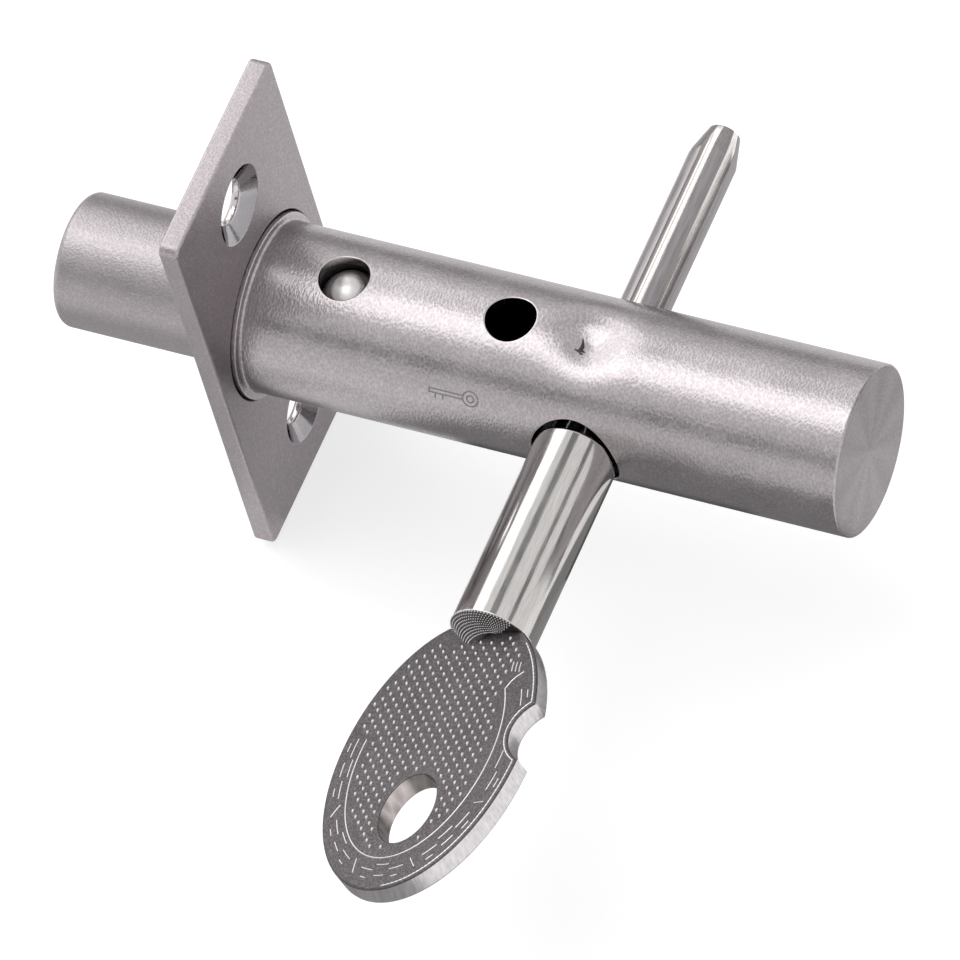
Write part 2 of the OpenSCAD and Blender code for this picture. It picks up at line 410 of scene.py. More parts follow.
def new_group(
    name: str, inputs: dict[str, str], outputs: tuple[str, ...]
) -> tuple[Nodes, bpy.types.Node, bpy.types.Node]:
    """Starts a node group.

    Args:
        name: Name of the group.
        inputs: "Float" or "Vector" for each input's name.
        outputs: Names of the float outputs.

    Returns:
        The group's nodes, the node of its inputs and the node of its outputs.
    """
    tree = bpy.data.node_groups.new(name, "ShaderNodeTree")
    for label, kind in inputs.items():
        tree.interface.new_socket(name=label, in_out="INPUT", socket_type=f"NodeSocket{kind}")
    for label in outputs:
        tree.interface.new_socket(name=label, in_out="OUTPUT", socket_type="NodeSocketFloat")
    return Nodes(tree), tree.nodes.new("NodeGroupInput"), tree.nodes.new("NodeGroupOutput")


def grain_group() -> bpy.types.NodeTree:
    """Grain: small cells and noise on Object coordinates stretched along the working direction.

    Returns:
        A group with the outputs Height and Mottle, both about 0 to 1.
    """
    nodes, entry, leave = new_group(
        "worked_grain", {"Stretch": "Vector", "Fineness": "Float"}, ("Height", "Mottle")
    )
    place = nodes.place()
    stretch = nodes.add(
        "VectorMath", {0: place, 1: entry.outputs["Stretch"]}, operation="MULTIPLY"
    )
    fine_at = {"Vector": stretch.outputs[0], "Scale": entry.outputs["Fineness"]}
    fine = nodes.add("TexNoise", {**fine_at, "Detail": 3.0, "Roughness": 0.6})
    cells = nodes.add("TexVoronoi", fine_at)
    mottle = nodes.add("TexNoise", {"Vector": place, "Scale": 260.0, "Detail": 4.0})
    height = nodes.math("MULTIPLY", fine.outputs["Fac"], NOISE_SHARE)
    height = nodes.math("MULTIPLY_ADD", cells.outputs["Distance"], CELL_SHARE, height)
    nodes.feed(leave, {"Height": height, "Mottle": mottle.outputs["Fac"]})
    return nodes.tree


def pit_group() -> bpy.types.NodeTree:
    """Pits: the middles of cells on Object coordinates, wider for a larger amount.

    Returns:
        A group with the output Mask, 1 in a pit.
    """
    nodes, entry, leave = new_group(
        "small_pits", {"Fineness": "Float", "Amount": "Float"}, ("Mask",)
    )
    cells = nodes.add(
        "TexVoronoi", {"Vector": nodes.place(), "Scale": entry.outputs["Fineness"]}
    )
    near = nodes.math("SUBTRACT", entry.outputs["Amount"], cells.outputs["Distance"])
    steep = nodes.math("MULTIPLY", near, PIT_STEEPNESS)
    nodes.feed(leave, {"Mask": nodes.add("Clamp", {"Value": steep}).outputs[0]})
    return nodes.tree


def wear_group() -> bpy.types.NodeTree:
    """Wear: the pieces' own attribute of edges that bend outward, broken up by noise.

    Returns:
        A group with the output Mask, 1 on a rubbed edge.
    """
    nodes, entry, leave = new_group("rubbed_edges", {"Amount": "Float"}, ("Mask",))
    edges = nodes.add("Attribute", attribute_name="rubbed")
    noise = nodes.add("TexNoise", {"Vector": nodes.place(), "Scale": 1400.0})
    broken = nodes.math("MULTIPLY", edges.outputs["Fac"], noise.outputs["Fac"])
    amount = nodes.math("MULTIPLY", broken, entry.outputs["Amount"])
    nodes.feed(leave, {"Mask": nodes.add("Clamp", {"Value": amount}).outputs[0]})
    return nodes.tree


def rings_and_painted_sheen_group() -> bpy.types.NodeTree:
    """Turned end face: fine rings by distance from the tube's axis, and soft wedges of painted
    sheen.

    Returns:
        A group with the outputs Height and PaintedSheen, both about 0 to 1; PaintedSheen is a
        highlight painted into the colour.
    """
    nodes, entry, leave = new_group("turned_rings_and_painted_sheen", {"Fineness": "Float"}, ("Height", "PaintedSheen"))
    part = nodes.add("SeparateXYZ", {0: nodes.place()})
    side, up = part.outputs["Y"], part.outputs["Z"]
    square = nodes.math("MULTIPLY_ADD", up, up, nodes.math("MULTIPLY", side, side))
    radius = nodes.math("SQRT", square)
    rings = nodes.add(
        "TexNoise", {"W": radius, "Scale": entry.outputs["Fineness"]}, noise_dimensions="1D"
    )
    # Painted sheen: a broad band and narrow wedges of highlight by angle round the axis.
    turn = nodes.math("ARCTAN2", side, up)
    broad = nodes.math("COSINE", nodes.math("ADD", turn, BROAD_TURN))
    narrow = nodes.math("COSINE", nodes.math("MULTIPLY_ADD", turn, WEDGES, WEDGE_TURN))
    painted_sheen = nodes.math("MULTIPLY_ADD", broad, BROAD_PAINTED_SHEEN, 0.5)
    painted_sheen = nodes.math("MULTIPLY_ADD", narrow, WEDGE_PAINTED_SHEEN, painted_sheen)
    nodes.feed(leave, {"Height": rings.outputs["Fac"], "PaintedSheen": painted_sheen})
    return nodes.tree


class Wear(Enum):
    """How a surface was last worked: its value stretches the grain along x, y and z."""

    TURNED = (1.0, 0.65, 0.65)
    ALONG_KEY = (1.0, 0.06, 1.0)
    CAST = (1.0, 1.0, 1.0)
    ACROSS = (1.0, 1.0, 0.06)


@dataclass(frozen=True)
class Metal:
    """A metal finish: its colour, polish, grain, pits, rubbed edges, turned rings and painted
    sheen.
    """

    name: str
    colour: tuple[float, float, float]
    roughness: float
    wear: Wear = Wear.TURNED
    fineness: float = 9000.0
    depth: float = 0.25
    mottle: float = 0.06
    pits: float = 0.0
    pit_fineness: float = 3000.0
    rubbed: float = 1.0
    tint: float = 0.8
    rings_and_painted_sheen: float = 0.0
    lathe_fineness: float = 5000.0

    def material(self, groups: "Groups") -> bpy.types.Material:
        """Makes the material.

        Args:
            groups: The shared node groups.

        Returns:
            The material.
        """
        made = bpy.data.materials.new(self.name)
        made.use_nodes = True
        nodes = Nodes(made.node_tree)
        grain = nodes.add(
            "Group", {"Stretch": self.wear.value, "Fineness": self.fineness},
            node_tree=groups.grain,
        )
        height = grain.outputs["Height"]
        pits = nodes.add(
            "Group", {"Fineness": self.pit_fineness, "Amount": self.pits}, node_tree=groups.pits
        ).outputs["Mask"]
        rubbed = nodes.add(
            "Group", {"Amount": self.rubbed}, node_tree=groups.wear
        ).outputs["Mask"]
        level = nodes.math("SUBTRACT", grain.outputs["Mottle"], 0.5)
        streak = nodes.math("SUBTRACT", height, 0.5)
        shades = [(level, self.mottle * MOTTLE_SHADE), (streak, self.mottle * STREAK_SHADE),
                  (pits, PIT_SHADE), (rubbed, RUB_SHADE)]
        heights = [(pits, PIT_LIFT)]
        # A turned face gets painted sheen wedges in its colour, as well as its real turned rings.
        if self.rings_and_painted_sheen:
            face = nodes.add(
                "Group", {"Fineness": self.lathe_fineness}, node_tree=groups.rings_and_painted_sheen
            )
            painted_sheen = nodes.math("SUBTRACT", face.outputs["PaintedSheen"], 0.5)
            rings = nodes.math("SUBTRACT", face.outputs["Height"], 0.5)
            shades += [(painted_sheen, self.rings_and_painted_sheen), (rings, self.rings_and_painted_sheen * RING_SHADE)]
            heights += [(face.outputs["Height"], RING_LIFT)]
        shade = 1.0
        for source, share in shades:
            shade = nodes.math("MULTIPLY_ADD", source, share, shade)
        for source, share in heights:
            height = nodes.math("MULTIPLY_ADD", source, share, height)
        rough = nodes.math("MULTIPLY_ADD", level, MOTTLE_ROUGHNESS, self.roughness)
        rough = nodes.math("MULTIPLY_ADD", rubbed, RUB_ROUGHNESS, rough)
        colour = nodes.add(
            "Mix", {"Factor": 1.0, "A": (*self.colour, 1.0), "B": shade},
            data_type="RGBA", blend_type="MULTIPLY",
        )
        bump = nodes.add(
            "Bump", {"Strength": self.depth, "Distance": BUMP_HEIGHT, "Height": height}
        )
        nodes.feed(made.node_tree.nodes["Principled BSDF"], {
            "Metallic": 1.0,
            "Specular Tint": (self.tint,) * 3 + (1.0,),
            "Base Color": colour.outputs["Result"],
            "Roughness": rough,
            "Normal": bump.outputs["Normal"],
        })
        return made


class Groups:
    """The shared node groups, built once, and the materials made from them."""

    def __init__(self) -> None:
        """Builds the groups."""
        self.grain = grain_group()
        self.pits = pit_group()
        self.wear = wear_group()
        self.rings_and_painted_sheen = rings_and_painted_sheen_group()
        self.made: dict[Metal, bpy.types.Material] = {}

    def __call__(self, *metals: Metal) -> Finishes:
        """Gives the materials of finishes, each made once.

        Args:
            metals: The finishes.

        Returns:
            Their materials.
        """
        for metal in metals:
            if metal not in self.made:
                self.made[metal] = metal.material(self)
        return [self.made[metal] for metal in metals]


TUBE_STEEL = Metal(
    "satin_tube_steel", (0.405, 0.374, 0.384), 0.30, fineness=4000.0, depth=1.0, mottle=0.13
)
# The end cap's face has painted sheen wedges in its colour.
CAP_STEEL = Metal(
    "turned_end_steel_painted_sheen", (0.268, 0.243, 0.254), 0.32, Wear.CAST,
    fineness=4000.0, depth=1.0, mottle=0.12, rings_and_painted_sheen=0.42,
)
BOLT_STEEL = Metal(
    "bolt_steel", (0.36, 0.332, 0.34), 0.40, Wear.CAST, fineness=4000.0, depth=1.1, mottle=0.1
)
# Near-black painted shade for the bore, the bolt's shoulder, rack and pocket floor, and the
# dimple's punch mark.
PAINTED_SHADE_STEEL = Metal("inner_steel_painted_shade", (0.05, 0.048, 0.05), 0.5)
PLATE_STEEL = Metal(
    "rolled_plate_steel", (0.37, 0.335, 0.345), 0.44, Wear.CAST,
    fineness=4000.0, depth=1.0, mottle=0.12, pits=0.14,
)
HOLE_STEEL = Metal("bright_drilled_steel", (0.5, 0.47, 0.47), 0.14, depth=0.2)
CONE_STEEL = Metal("reamed_cone_steel", (0.33, 0.315, 0.33), 0.1, depth=0.2)
SHANK_CHROME = Metal(
    "polished_shank", (0.56, 0.54, 0.53), 0.12, Wear.ALONG_KEY, depth=0.1, tint=0.9
)
BIT_CHROME = Metal(
    "satin_bit", (0.3, 0.28, 0.285), 0.34, Wear.ALONG_KEY, fineness=5000.0, depth=0.3, mottle=0.1
)
GROOVE_CHROME = Metal(
    "bright_bit_groove", (0.8, 0.77, 0.75), 0.2, Wear.ALONG_KEY, depth=0.12, tint=0.9
)
BALL_CHROME = Metal("bright_ball", (0.62, 0.6, 0.595), 0.36, Wear.CAST, depth=0.3, pits=0.1)
BODY_STEEL = Metal("bolt_body_steel", (0.3, 0.29, 0.29), 0.4, Wear.CAST, depth=0.3)
BOW_NICKEL = Metal(
    "cast_bow_nickel", (0.1, 0.0915, 0.0945), 0.46, Wear.CAST,
    fineness=4500.0, depth=1.0, mottle=0.3, pits=0.12,
)
BOW_WALL = Metal(
    "ground_bow_wall", (0.6, 0.575, 0.58), 0.3, Wear.ACROSS,
    fineness=3000.0, depth=0.4, mottle=0.1,
)
BOW_HOLE = Metal(
    "rubbed_hole_wall", (0.38, 0.345, 0.335), 0.22, Wear.ACROSS,
    fineness=1100.0, depth=0.4, mottle=0.3,
)
BOW_EDGE = Metal(
    "rubbed_bow_nickel", (0.48, 0.465, 0.465), 0.3, Wear.CAST, fineness=5000.0, depth=0.3
)
MARK_STEEL = Metal("etched_mark", (0.22, 0.21, 0.215), 0.5, Wear.CAST, depth=0.3)


# ---------------------------------------------------------------- tube


@dataclass(frozen=True)
class Drilling:
    """A round hole drilled square through a round wall."""

    x: float
    angle: float
    radius: float
    margin: float = 0.9
    rim: float = 0.28
    rings: int = 8
    crowding: float = 1.5
    rim_points: int = 6
    rim_step: float = 0.06

    def loop(
        self, wall_radius: float, rows: np.ndarray, columns: int, keep: np.ndarray
    ) -> tuple[np.ndarray, np.ndarray, np.ndarray]:
        """Rectangle of the wall's grid round the hole, whose cells are taken out.

        Args:
            wall_radius: Radius of the wall's outside.
            rows: Distances of the grid's rows.
            columns: Number of its columns.
            keep: Cells that stay, changed in place.

        Returns:
            Distance along, angle round the wall and angle about the hole of each point.
        """
        centre = math.radians(self.angle)
        reach = self.radius + self.margin
        spread = math.asin(min(0.98, reach / wall_radius))
        near = np.flatnonzero(np.abs(rows - self.x) < reach)
        first, last = near[0], near[-1]
        step = 2 * np.pi / columns
        left = math.floor((centre - spread) / step)
        right = math.ceil((centre + spread) / step)
        span = np.arange(left, right + 1)
        keep[first:last, span[:-1] % columns] = False
        down = np.arange(first, last + 1)
        across, along = len(span) - 1, len(down) - 1
        loop_rows = np.concatenate(
            [np.full(across, first), down[:-1], np.full(across, last), down[:0:-1]]
        )
        loop_turn = np.concatenate(
            [span[:-1], np.full(along, right), span[:0:-1], np.full(along, left)]
        )
        x, angle = rows[loop_rows], loop_turn * step
        return x, angle, np.arctan2(wall_radius * np.sin(angle - centre), x - self.x)

    def surround(
        self, shell: Shell, surface: Surface, radius: float,
        loop: tuple[np.ndarray, np.ndarray, np.ndarray], gap: float, slot: int,
    ) -> None:
        """Rings that run from the rectangle to the hole's round rim.

        Args:
            shell: The shell that gets them.
            surface: Gives the wall's points from distance and angle.
            radius: The wall's radius.
            loop: The rectangle, as loop() gives it.
            gap: How far outside the hole the rings end.
            slot: Number of the finish.
        """
        x, angle, around = loop
        edge_x = self.x + (self.radius + gap) * np.cos(around)
        shift = (self.radius + gap) * np.sin(around)
        edge_angle = math.radians(self.angle) + np.arcsin(shift / radius)
        blend = 1.0 - np.linspace(1.0, 0.0, self.rings)[:, None] ** self.crowding
        points = surface(x + (edge_x - x) * blend, angle + (edge_angle - angle) * blend)
        shell.grid(points, slot)

    def wall(
        self, shell: Shell, radius: float, around: np.ndarray, bottom: np.ndarray, slot: int
    ) -> Points:
        """Wall of the hole: a quarter round at the rim, then straight down to the bottom.

        Args:
            shell: The shell that gets it.
            radius: Radius of the wall that is drilled.
            around: Angles of the wall's points about the hole's own axis, radians.
            bottom: Distance from the tube's axis at which each point ends.
            slot: Number of the finish.

        Returns:
            The lowest ring.
        """
        centre = math.radians(self.angle)
        bend = np.radians(np.linspace(0, 90, self.rim_points))
        reach = self.radius + self.rim * (1 - np.sin(bend))
        sink = self.rim * (1 - np.cos(bend))
        shift = reach[:, None] * np.sin(around)
        height = np.sqrt(radius**2 - shift**2) - sink[:, None]
        shift = np.vstack([shift, shift[-1:], shift[-1:]])
        height = np.vstack([height, height[-1:] - self.rim_step, bottom[None]])
        x = self.x + np.append(reach, reach[[-1, -1]])[:, None] * np.cos(around)
        side = height * math.sin(centre) + shift * math.cos(centre)
        up = height * math.cos(centre) - shift * math.sin(centre)
        points = np.stack([x, -side, up], axis=-1)
        shell.grid(points, slot)
        return points[-1]


@dataclass
class TubeHousing:
    """The tube: flange, drilled holes and the dimple pressed in its top."""

    radius: float = 9.0
    bore: float = 7.9
    start: float = -1.4
    end: float = 64.6
    flange: float = 9.85
    flange_x: float = 0.45
    flange_rim: float = 0.12
    fillet: float = 0.3
    columns: int = 144
    pitch: float = 0.34
    end_row: float = 0.04
    end_gap: float = 0.2
    dimple_x: float = 37.2
    dimple_turn: float = 2.0
    dimple_depth: float = 1.2
    dimple_half: float = 6.15
    dimple_soft: float = 0.16
    dimple_wall: float = 0.3
    punch_x: float = 36.4
    punch_turn: float = 5.0
    punch_long: float = 1.25
    punch_wide: float = 1.7
    punch_tall: float = 0.4

    def holes(self) -> list[Drilling]:
        """The two detent holes, the key's hole and the hole for its bit.

        Returns:
            The holes, in that order.
        """
        return [
            Drilling(9.8, 0.0, 2.65, rim=0.14),
            Drilling(28.3, 0.0, 2.65, rim=0.14),
            Drilling(37.4, 90.0, 4.75, rim=0.2),
            Drilling(37.4, 270.0, 3.0, rim=0.2),
        ]

    def sunk(self, x: Points, angle: Points) -> Points:
        """Depth of the dimple: the square of what is left of its half width, round at the bottom.

        Args:
            x: Distances along the tube.
            angle: Angles from the top, radians.

        Returns:
            The depths, in the shape of x.
        """
        turn = (angle - math.radians(self.dimple_turn) + np.pi) % (2 * np.pi) - np.pi
        away = np.hypot(x - self.dimple_x, self.radius * turn) / self.dimple_half
        share = np.maximum(1.0 - np.hypot(away, self.dimple_soft), 0.0)
        return self.dimple_depth * (share / (1.0 - self.dimple_soft)) ** 2

    def outside(self, x: Points, angle: Points) -> Points:
        """Points of the outer wall: the radius less the dimple.

        Args:
            x: Distances along the tube.
            angle: Angles from the top, radians.

        Returns:
            The points, in the shape of x by 3.
        """
        return about_x(x, angle, self.radius - self.sunk(x, angle))

    def inside(self, x: Points, angle: Points) -> Points:
        """Points of the bore, pressed in less than the dimple, so the bolt clears its thinner wall.

        Args:
            x: Distances along the tube.
            angle: Angles from the top, radians.

        Returns:
            The points, in the shape of x by 3.
        """
        pressed = np.maximum(self.sunk(x, angle) - self.dimple_wall, 0.0)
        return about_x(x, angle, self.bore - pressed)

    def in_dimple(self, flat: Points) -> Points:
        """Wraps u along the tube, v round it and the height onto the dimple's bottom.

        Args:
            flat: Points of u, v and height.

        Returns:
            The points in the frame.
        """
        x = self.punch_x + flat[..., 0]
        angle = math.radians(self.punch_turn) + flat[..., 1] / self.radius
        return about_x(x, angle, self.radius - self.sunk(x, angle) + flat[..., 2])

    def punch_mark(self, finishes: Finishes) -> None:
        """Builds the small irregular mark that the punch left at the bottom of the dimple.

        Args:
            finishes: The mark's finish.
        """
        shell = Shell()
        strokes = [
            ([[-0.25, -0.75], [-0.1, -0.3], [0.0, 0.1], [-0.05, 0.4], [0.05, 0.62]],
             [0.03, 0.08, 0.13, 0.15, 0.08]),
            ([[-0.5, 0.55], [-0.2, 0.62], [0.1, 0.5], [0.42, 0.62]], [0.04, 0.1, 0.12, 0.03]),
            ([[-0.1, 0.7], [0.15, 0.85], [0.35, 0.8]], [0.04, 0.09, 0.03]),
        ]
        for path, taper in strokes:
            wide = np.array(taper)
            ridge(shell, np.array(path) * self.punch_long, wide * self.punch_wide,
                  wide * self.punch_tall, self.in_dimple)
        piece = shell.build("dimple_punch_mark", finishes, sharp=60, weighted=False)
        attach(piece, "housing")

    def build(self, finishes: Finishes) -> None:
        """Builds the tube.

        Args:
            finishes: Outer, inner and hole finishes.
        """
        shell = Shell()
        first = self.flange_x + self.fillet
        row, gap = self.end_row, self.end_gap
        middle = np.linspace(first + gap, self.end - gap, int((self.end - first) / self.pitch))
        rows = np.concatenate([[first, first + row], middle, [self.end - row, self.end]])
        keep = np.ones((len(rows) - 1, self.columns), bool)
        for hole in self.holes():
            loop = hole.loop(self.radius, rows, self.columns, keep)
            hole.surround(shell, self.outside, self.radius, loop, hole.rim, 0)
            hole.surround(shell, self.inside, self.bore, loop, 0.0, 1)
            bottom = np.sqrt(self.bore**2 - (hole.radius * np.sin(loop[2])) ** 2)
            hole.wall(shell, self.radius, loop[2], bottom, 2)
        grid_x, grid_turn = np.meshgrid(rows, full_turn(self.columns), indexing="ij")
        shell.grid(self.outside(grid_x, grid_turn), keep=keep)
        shell.grid(self.inside(grid_x, grid_turn), 1, keep)
        rim, fillet = self.flange_rim, self.fillet
        corner = arc((self.flange_x - rim, self.flange - rim), rim, 90, 0, 3)
        hollow = arc((self.flange_x + fillet, self.radius + fillet), fillet, 180, 270, 6)
        front = np.array(
            [[rows[0], self.bore], [self.start, self.bore], [self.start, self.flange - rim],
             [self.start + rim, self.flange]]
        )
        shell.grid(turned(np.vstack([front, corner, hollow]), self.columns))
        last = np.array([[self.end, self.radius], [self.end, self.bore]])
        shell.grid(turned(last, self.columns), 1)
        piece = shell.build("tube_housing", finishes)
        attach(piece, "housing")
        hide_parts("housing_tube")


@dataclass
class EtchedMark:
    """The plain outline of a key etched on the tube: a ring and a shaft with two wards."""

    x: float = 26.2
    angle: float = 60.0
    ring: float = 0.85
    eye: float = 0.45
    shaft: float = 3.7
    shaft_half: float = 0.22
    end_half: float = 0.32
    wards: tuple[float, float] = (0.7, 1.5)
    ward_l: float = 0.8
    radius: float = 9.0
    line: float = 0.09
    tall: float = 0.03

    def on_tube(self, flat: Points) -> Points:
        """Wraps u along the tube, v round it and the height onto the tube's wall.

        Args:
            flat: Points of u, v and height.

        Returns:
            The points in the frame.
        """
        turn = math.radians(self.angle) + flat[..., 1] / self.radius
        return about_x(self.x + flat[..., 0], turn, self.radius + flat[..., 2])

    def build(self, finishes: Finishes) -> None:
        """Builds the mark.

        Args:
            finishes: The mark's finish.
        """
        shell = Shell()
        around = np.linspace(0, 1.97 * np.pi, 28)
        circle = np.stack([np.cos(around), np.sin(around)], axis=-1)
        start = -self.ring - self.shaft
        half, end = self.shaft_half, self.end_half
        shaft = np.linspace(start, -self.ring, 8)
        paths = [self.ring * circle, self.eye * self.ring * circle]
        paths += [np.column_stack([shaft, np.full(8, side)]) for side in (-half, half)]
        paths += [np.array([[start, -end], [start, 0.0], [start, end]])]
        paths += [
            np.array([[start + ward, half], [start + ward, 0.5], [start + ward, self.ward_l]])
            for ward in self.wards
        ]
        for path in paths:
            ridge(shell, path, self.line, self.tall, self.on_tube)
        piece = shell.build("etched_key_mark", finishes, sharp=60, weighted=False)
        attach(piece, "housing")


@dataclass
class EndCap:
    """The disc that closes the tube, with a spigot inside."""

    radius: float = 9.0
    spigot: float = 7.88
    spigot_x: float = 62.2
    spigot_edge: float = 0.3
    seat_x: float = 64.6
    end_x: float = 66.2
    rounding: float = 0.2
    side_rows: tuple[float, ...] = (0.0, 0.04, 0.3, 0.6, 0.9, 1.2, 1.36)
    inner_ring: float = 0.6
    face_rings: int = 10
    columns: int = 144

    def build(self, finishes: Finishes) -> None:
        """Builds the cap.

        Args:
            finishes: Side and face finishes.
        """
        soft = self.rounding
        edge = arc((self.end_x - soft, self.radius - soft), soft, 90, 0, 6)
        side = np.array(
            [[self.spigot_x, self.spigot - self.spigot_edge],
             [self.spigot_x + self.spigot_edge, self.spigot], [self.seat_x, self.spigot]]
            + [[self.seat_x + x, self.radius] for x in self.side_rows]
        )
        shell = Shell()
        walls = turned(np.vstack([side, edge]), self.columns)
        shell.grid(walls)
        shell.pole(walls[0], [self.spigot_x, 0.0, 0.0])
        rings = np.linspace(self.radius - soft, self.inner_ring, self.face_rings)
        face = turned(np.stack([np.full(len(rings), self.end_x), rings], -1), self.columns)
        shell.grid(face, 1)
        shell.pole(face[-1], [self.end_x, 0.0, 0.0], 1)
        piece = shell.build("tube_end_cap", finishes)
        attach(piece, "housing")
        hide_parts("end_cap")


# ---------------------------------------------------------------- faceplate


@dataclass
class Faceplate:
    """The rectangular plate with two coned screw holes and the tube's seat."""

    height: float = 53.2
    width: float = 24.8
    thick: float = 2.2
    corner: float = 1.0
    edge: float = 0.3
    soft: float = 0.1
    brim: float = 0.08
    seat: float = 10.05
    seat_x: float = -1.4
    nose_hole: float = 7.17
    screw_spacing: float = 36.0
    screw: float = 2.5
    screw_chamfer: float = 0.4
    cone: float = 4.25
    cone_depth: float = 1.1
    cone_lip: float = 0.03
    cone_step: float = 0.02
    land_edge: float = 0.06
    land_fall: float = 0.08
    front_edge: float = 0.3
    front_fall: float = 0.12
    steps: int = 10
    round_steps: int = 96

    def outline(self, inset: float) -> Section:
        """Rounded rectangle: four corner arcs whose radius shrinks with the inset.

        Args:
            inset: Distance inside the plate's outer edge.

        Returns:
            Points in the plate's own y and z.
        """
        quarter = arc((0.0, 0.0), self.corner - inset, 0, 90, self.steps)
        y, z = self.width / 2 - self.corner, self.height / 2 - self.corner
        parts = []
        for number, (side, up) in enumerate([(1, 1), (-1, 1), (-1, -1), (1, -1)]):
            c, s = np.cos(np.radians(90 * number)), np.sin(np.radians(90 * number))
            parts.append(quarter @ np.array([[c, s], [-s, c]]) + [side * y, up * z])
        return np.vstack(parts)

    def ring(self, radius: float, middle: float) -> Section:
        """Circle in the plate's y and z.

        Args:
            radius: Its radius.
            middle: Height of its centre.

        Returns:
            The points.
        """
        turn = full_turn(self.round_steps)
        return np.stack([radius * np.cos(turn), middle + radius * np.sin(turn)], axis=-1)

    @staticmethod
    def at(section: Section, x: float) -> Points:
        """Stands a section of y and z at a distance x.

        Args:
            section: Points of y and z.
            x: Distance along the tube.

        Returns:
            The points in space.
        """
        return np.column_stack([np.full(len(section), x), section])

    def bored(
        self, shell: Shell, profile: list[tuple[float, float]], middle: float, slot: int
    ) -> None:
        """Wall of a hole: circles of the profile's radii at its distances.

        Args:
            shell: The plate's shell.
            profile: Distance and radius, one pair each.
            middle: Height of the hole's centre.
            slot: Number of the finish.
        """
        rings = [self.at(self.ring(radius, middle), x) for x, radius in profile]
        shell.grid(np.stack(rings), slot)

    def build(self, finishes: Finishes) -> None:
        """Builds the plate.

        Args:
            finishes: Plate, cone and hole finishes.
        """
        shell = Shell()
        bend = np.radians(np.linspace(0, 90, 5))
        inset = self.edge * (1 - np.sin(bend))
        rise = self.edge * (1 - np.cos(bend))
        front = [self.at(self.outline(i), r - self.thick) for i, r in zip(inset, rise)]
        rear = [self.at(self.outline(i), -r) for i, r in zip(inset[::-1], rise[::-1])]
        shell.grid(np.stack(front + rear))
        screws = [self.screw_spacing / 2, -self.screw_spacing / 2]
        soft, land_x, front_x = self.soft, -self.cone_depth, -self.thick
        chamfered = self.screw + self.screw_chamfer
        for x, middle_r, screw_r in (
            (0.0, self.seat + soft, self.cone + soft),
            (front_x, self.nose_hole + soft, chamfered),
        ):
            steps = self.brim * BRIM_STEPS
            edges = [[self.outline(self.edge + step) for step in steps]]
            edges += [[self.ring(middle_r + step, 0) for step in steps]]
            edges += [[self.ring(screw_r + step, z) for step in steps] for z in screws]
            for rows in edges:
                shell.grid(np.stack([self.at(section, x) for section in rows]))
            shell.flat([self.at(rows[-1], x) for rows in edges])
        seat = [
            (0.0, self.seat + soft), (-soft, self.seat), (self.seat_x, self.seat),
            (self.seat_x, self.nose_hole), (soft - self.thick, self.nose_hole),
            (front_x, self.nose_hole + soft),
        ]
        self.bored(shell, seat, 0.0, 0)
        cone = [
            (0.0, self.cone + soft), (-self.cone_lip, self.cone + self.cone_lip),
            (-soft, self.cone - self.cone_step), (land_x, self.screw + self.land_edge),
        ]
        land = cone[-1:] + [
            (land_x - self.land_fall, self.screw),
            (self.front_edge + self.front_fall - self.thick, self.screw),
            (self.front_edge - self.thick, self.screw + self.land_fall), (front_x, chamfered),
        ]
        for z in screws:
            self.bored(shell, cone, z, 1)
            self.bored(shell, land, z, 2)
        piece = shell.build("door_faceplate", finishes)
        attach(piece, "housing")
        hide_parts("faceplate")


# ---------------------------------------------------------------- bolt


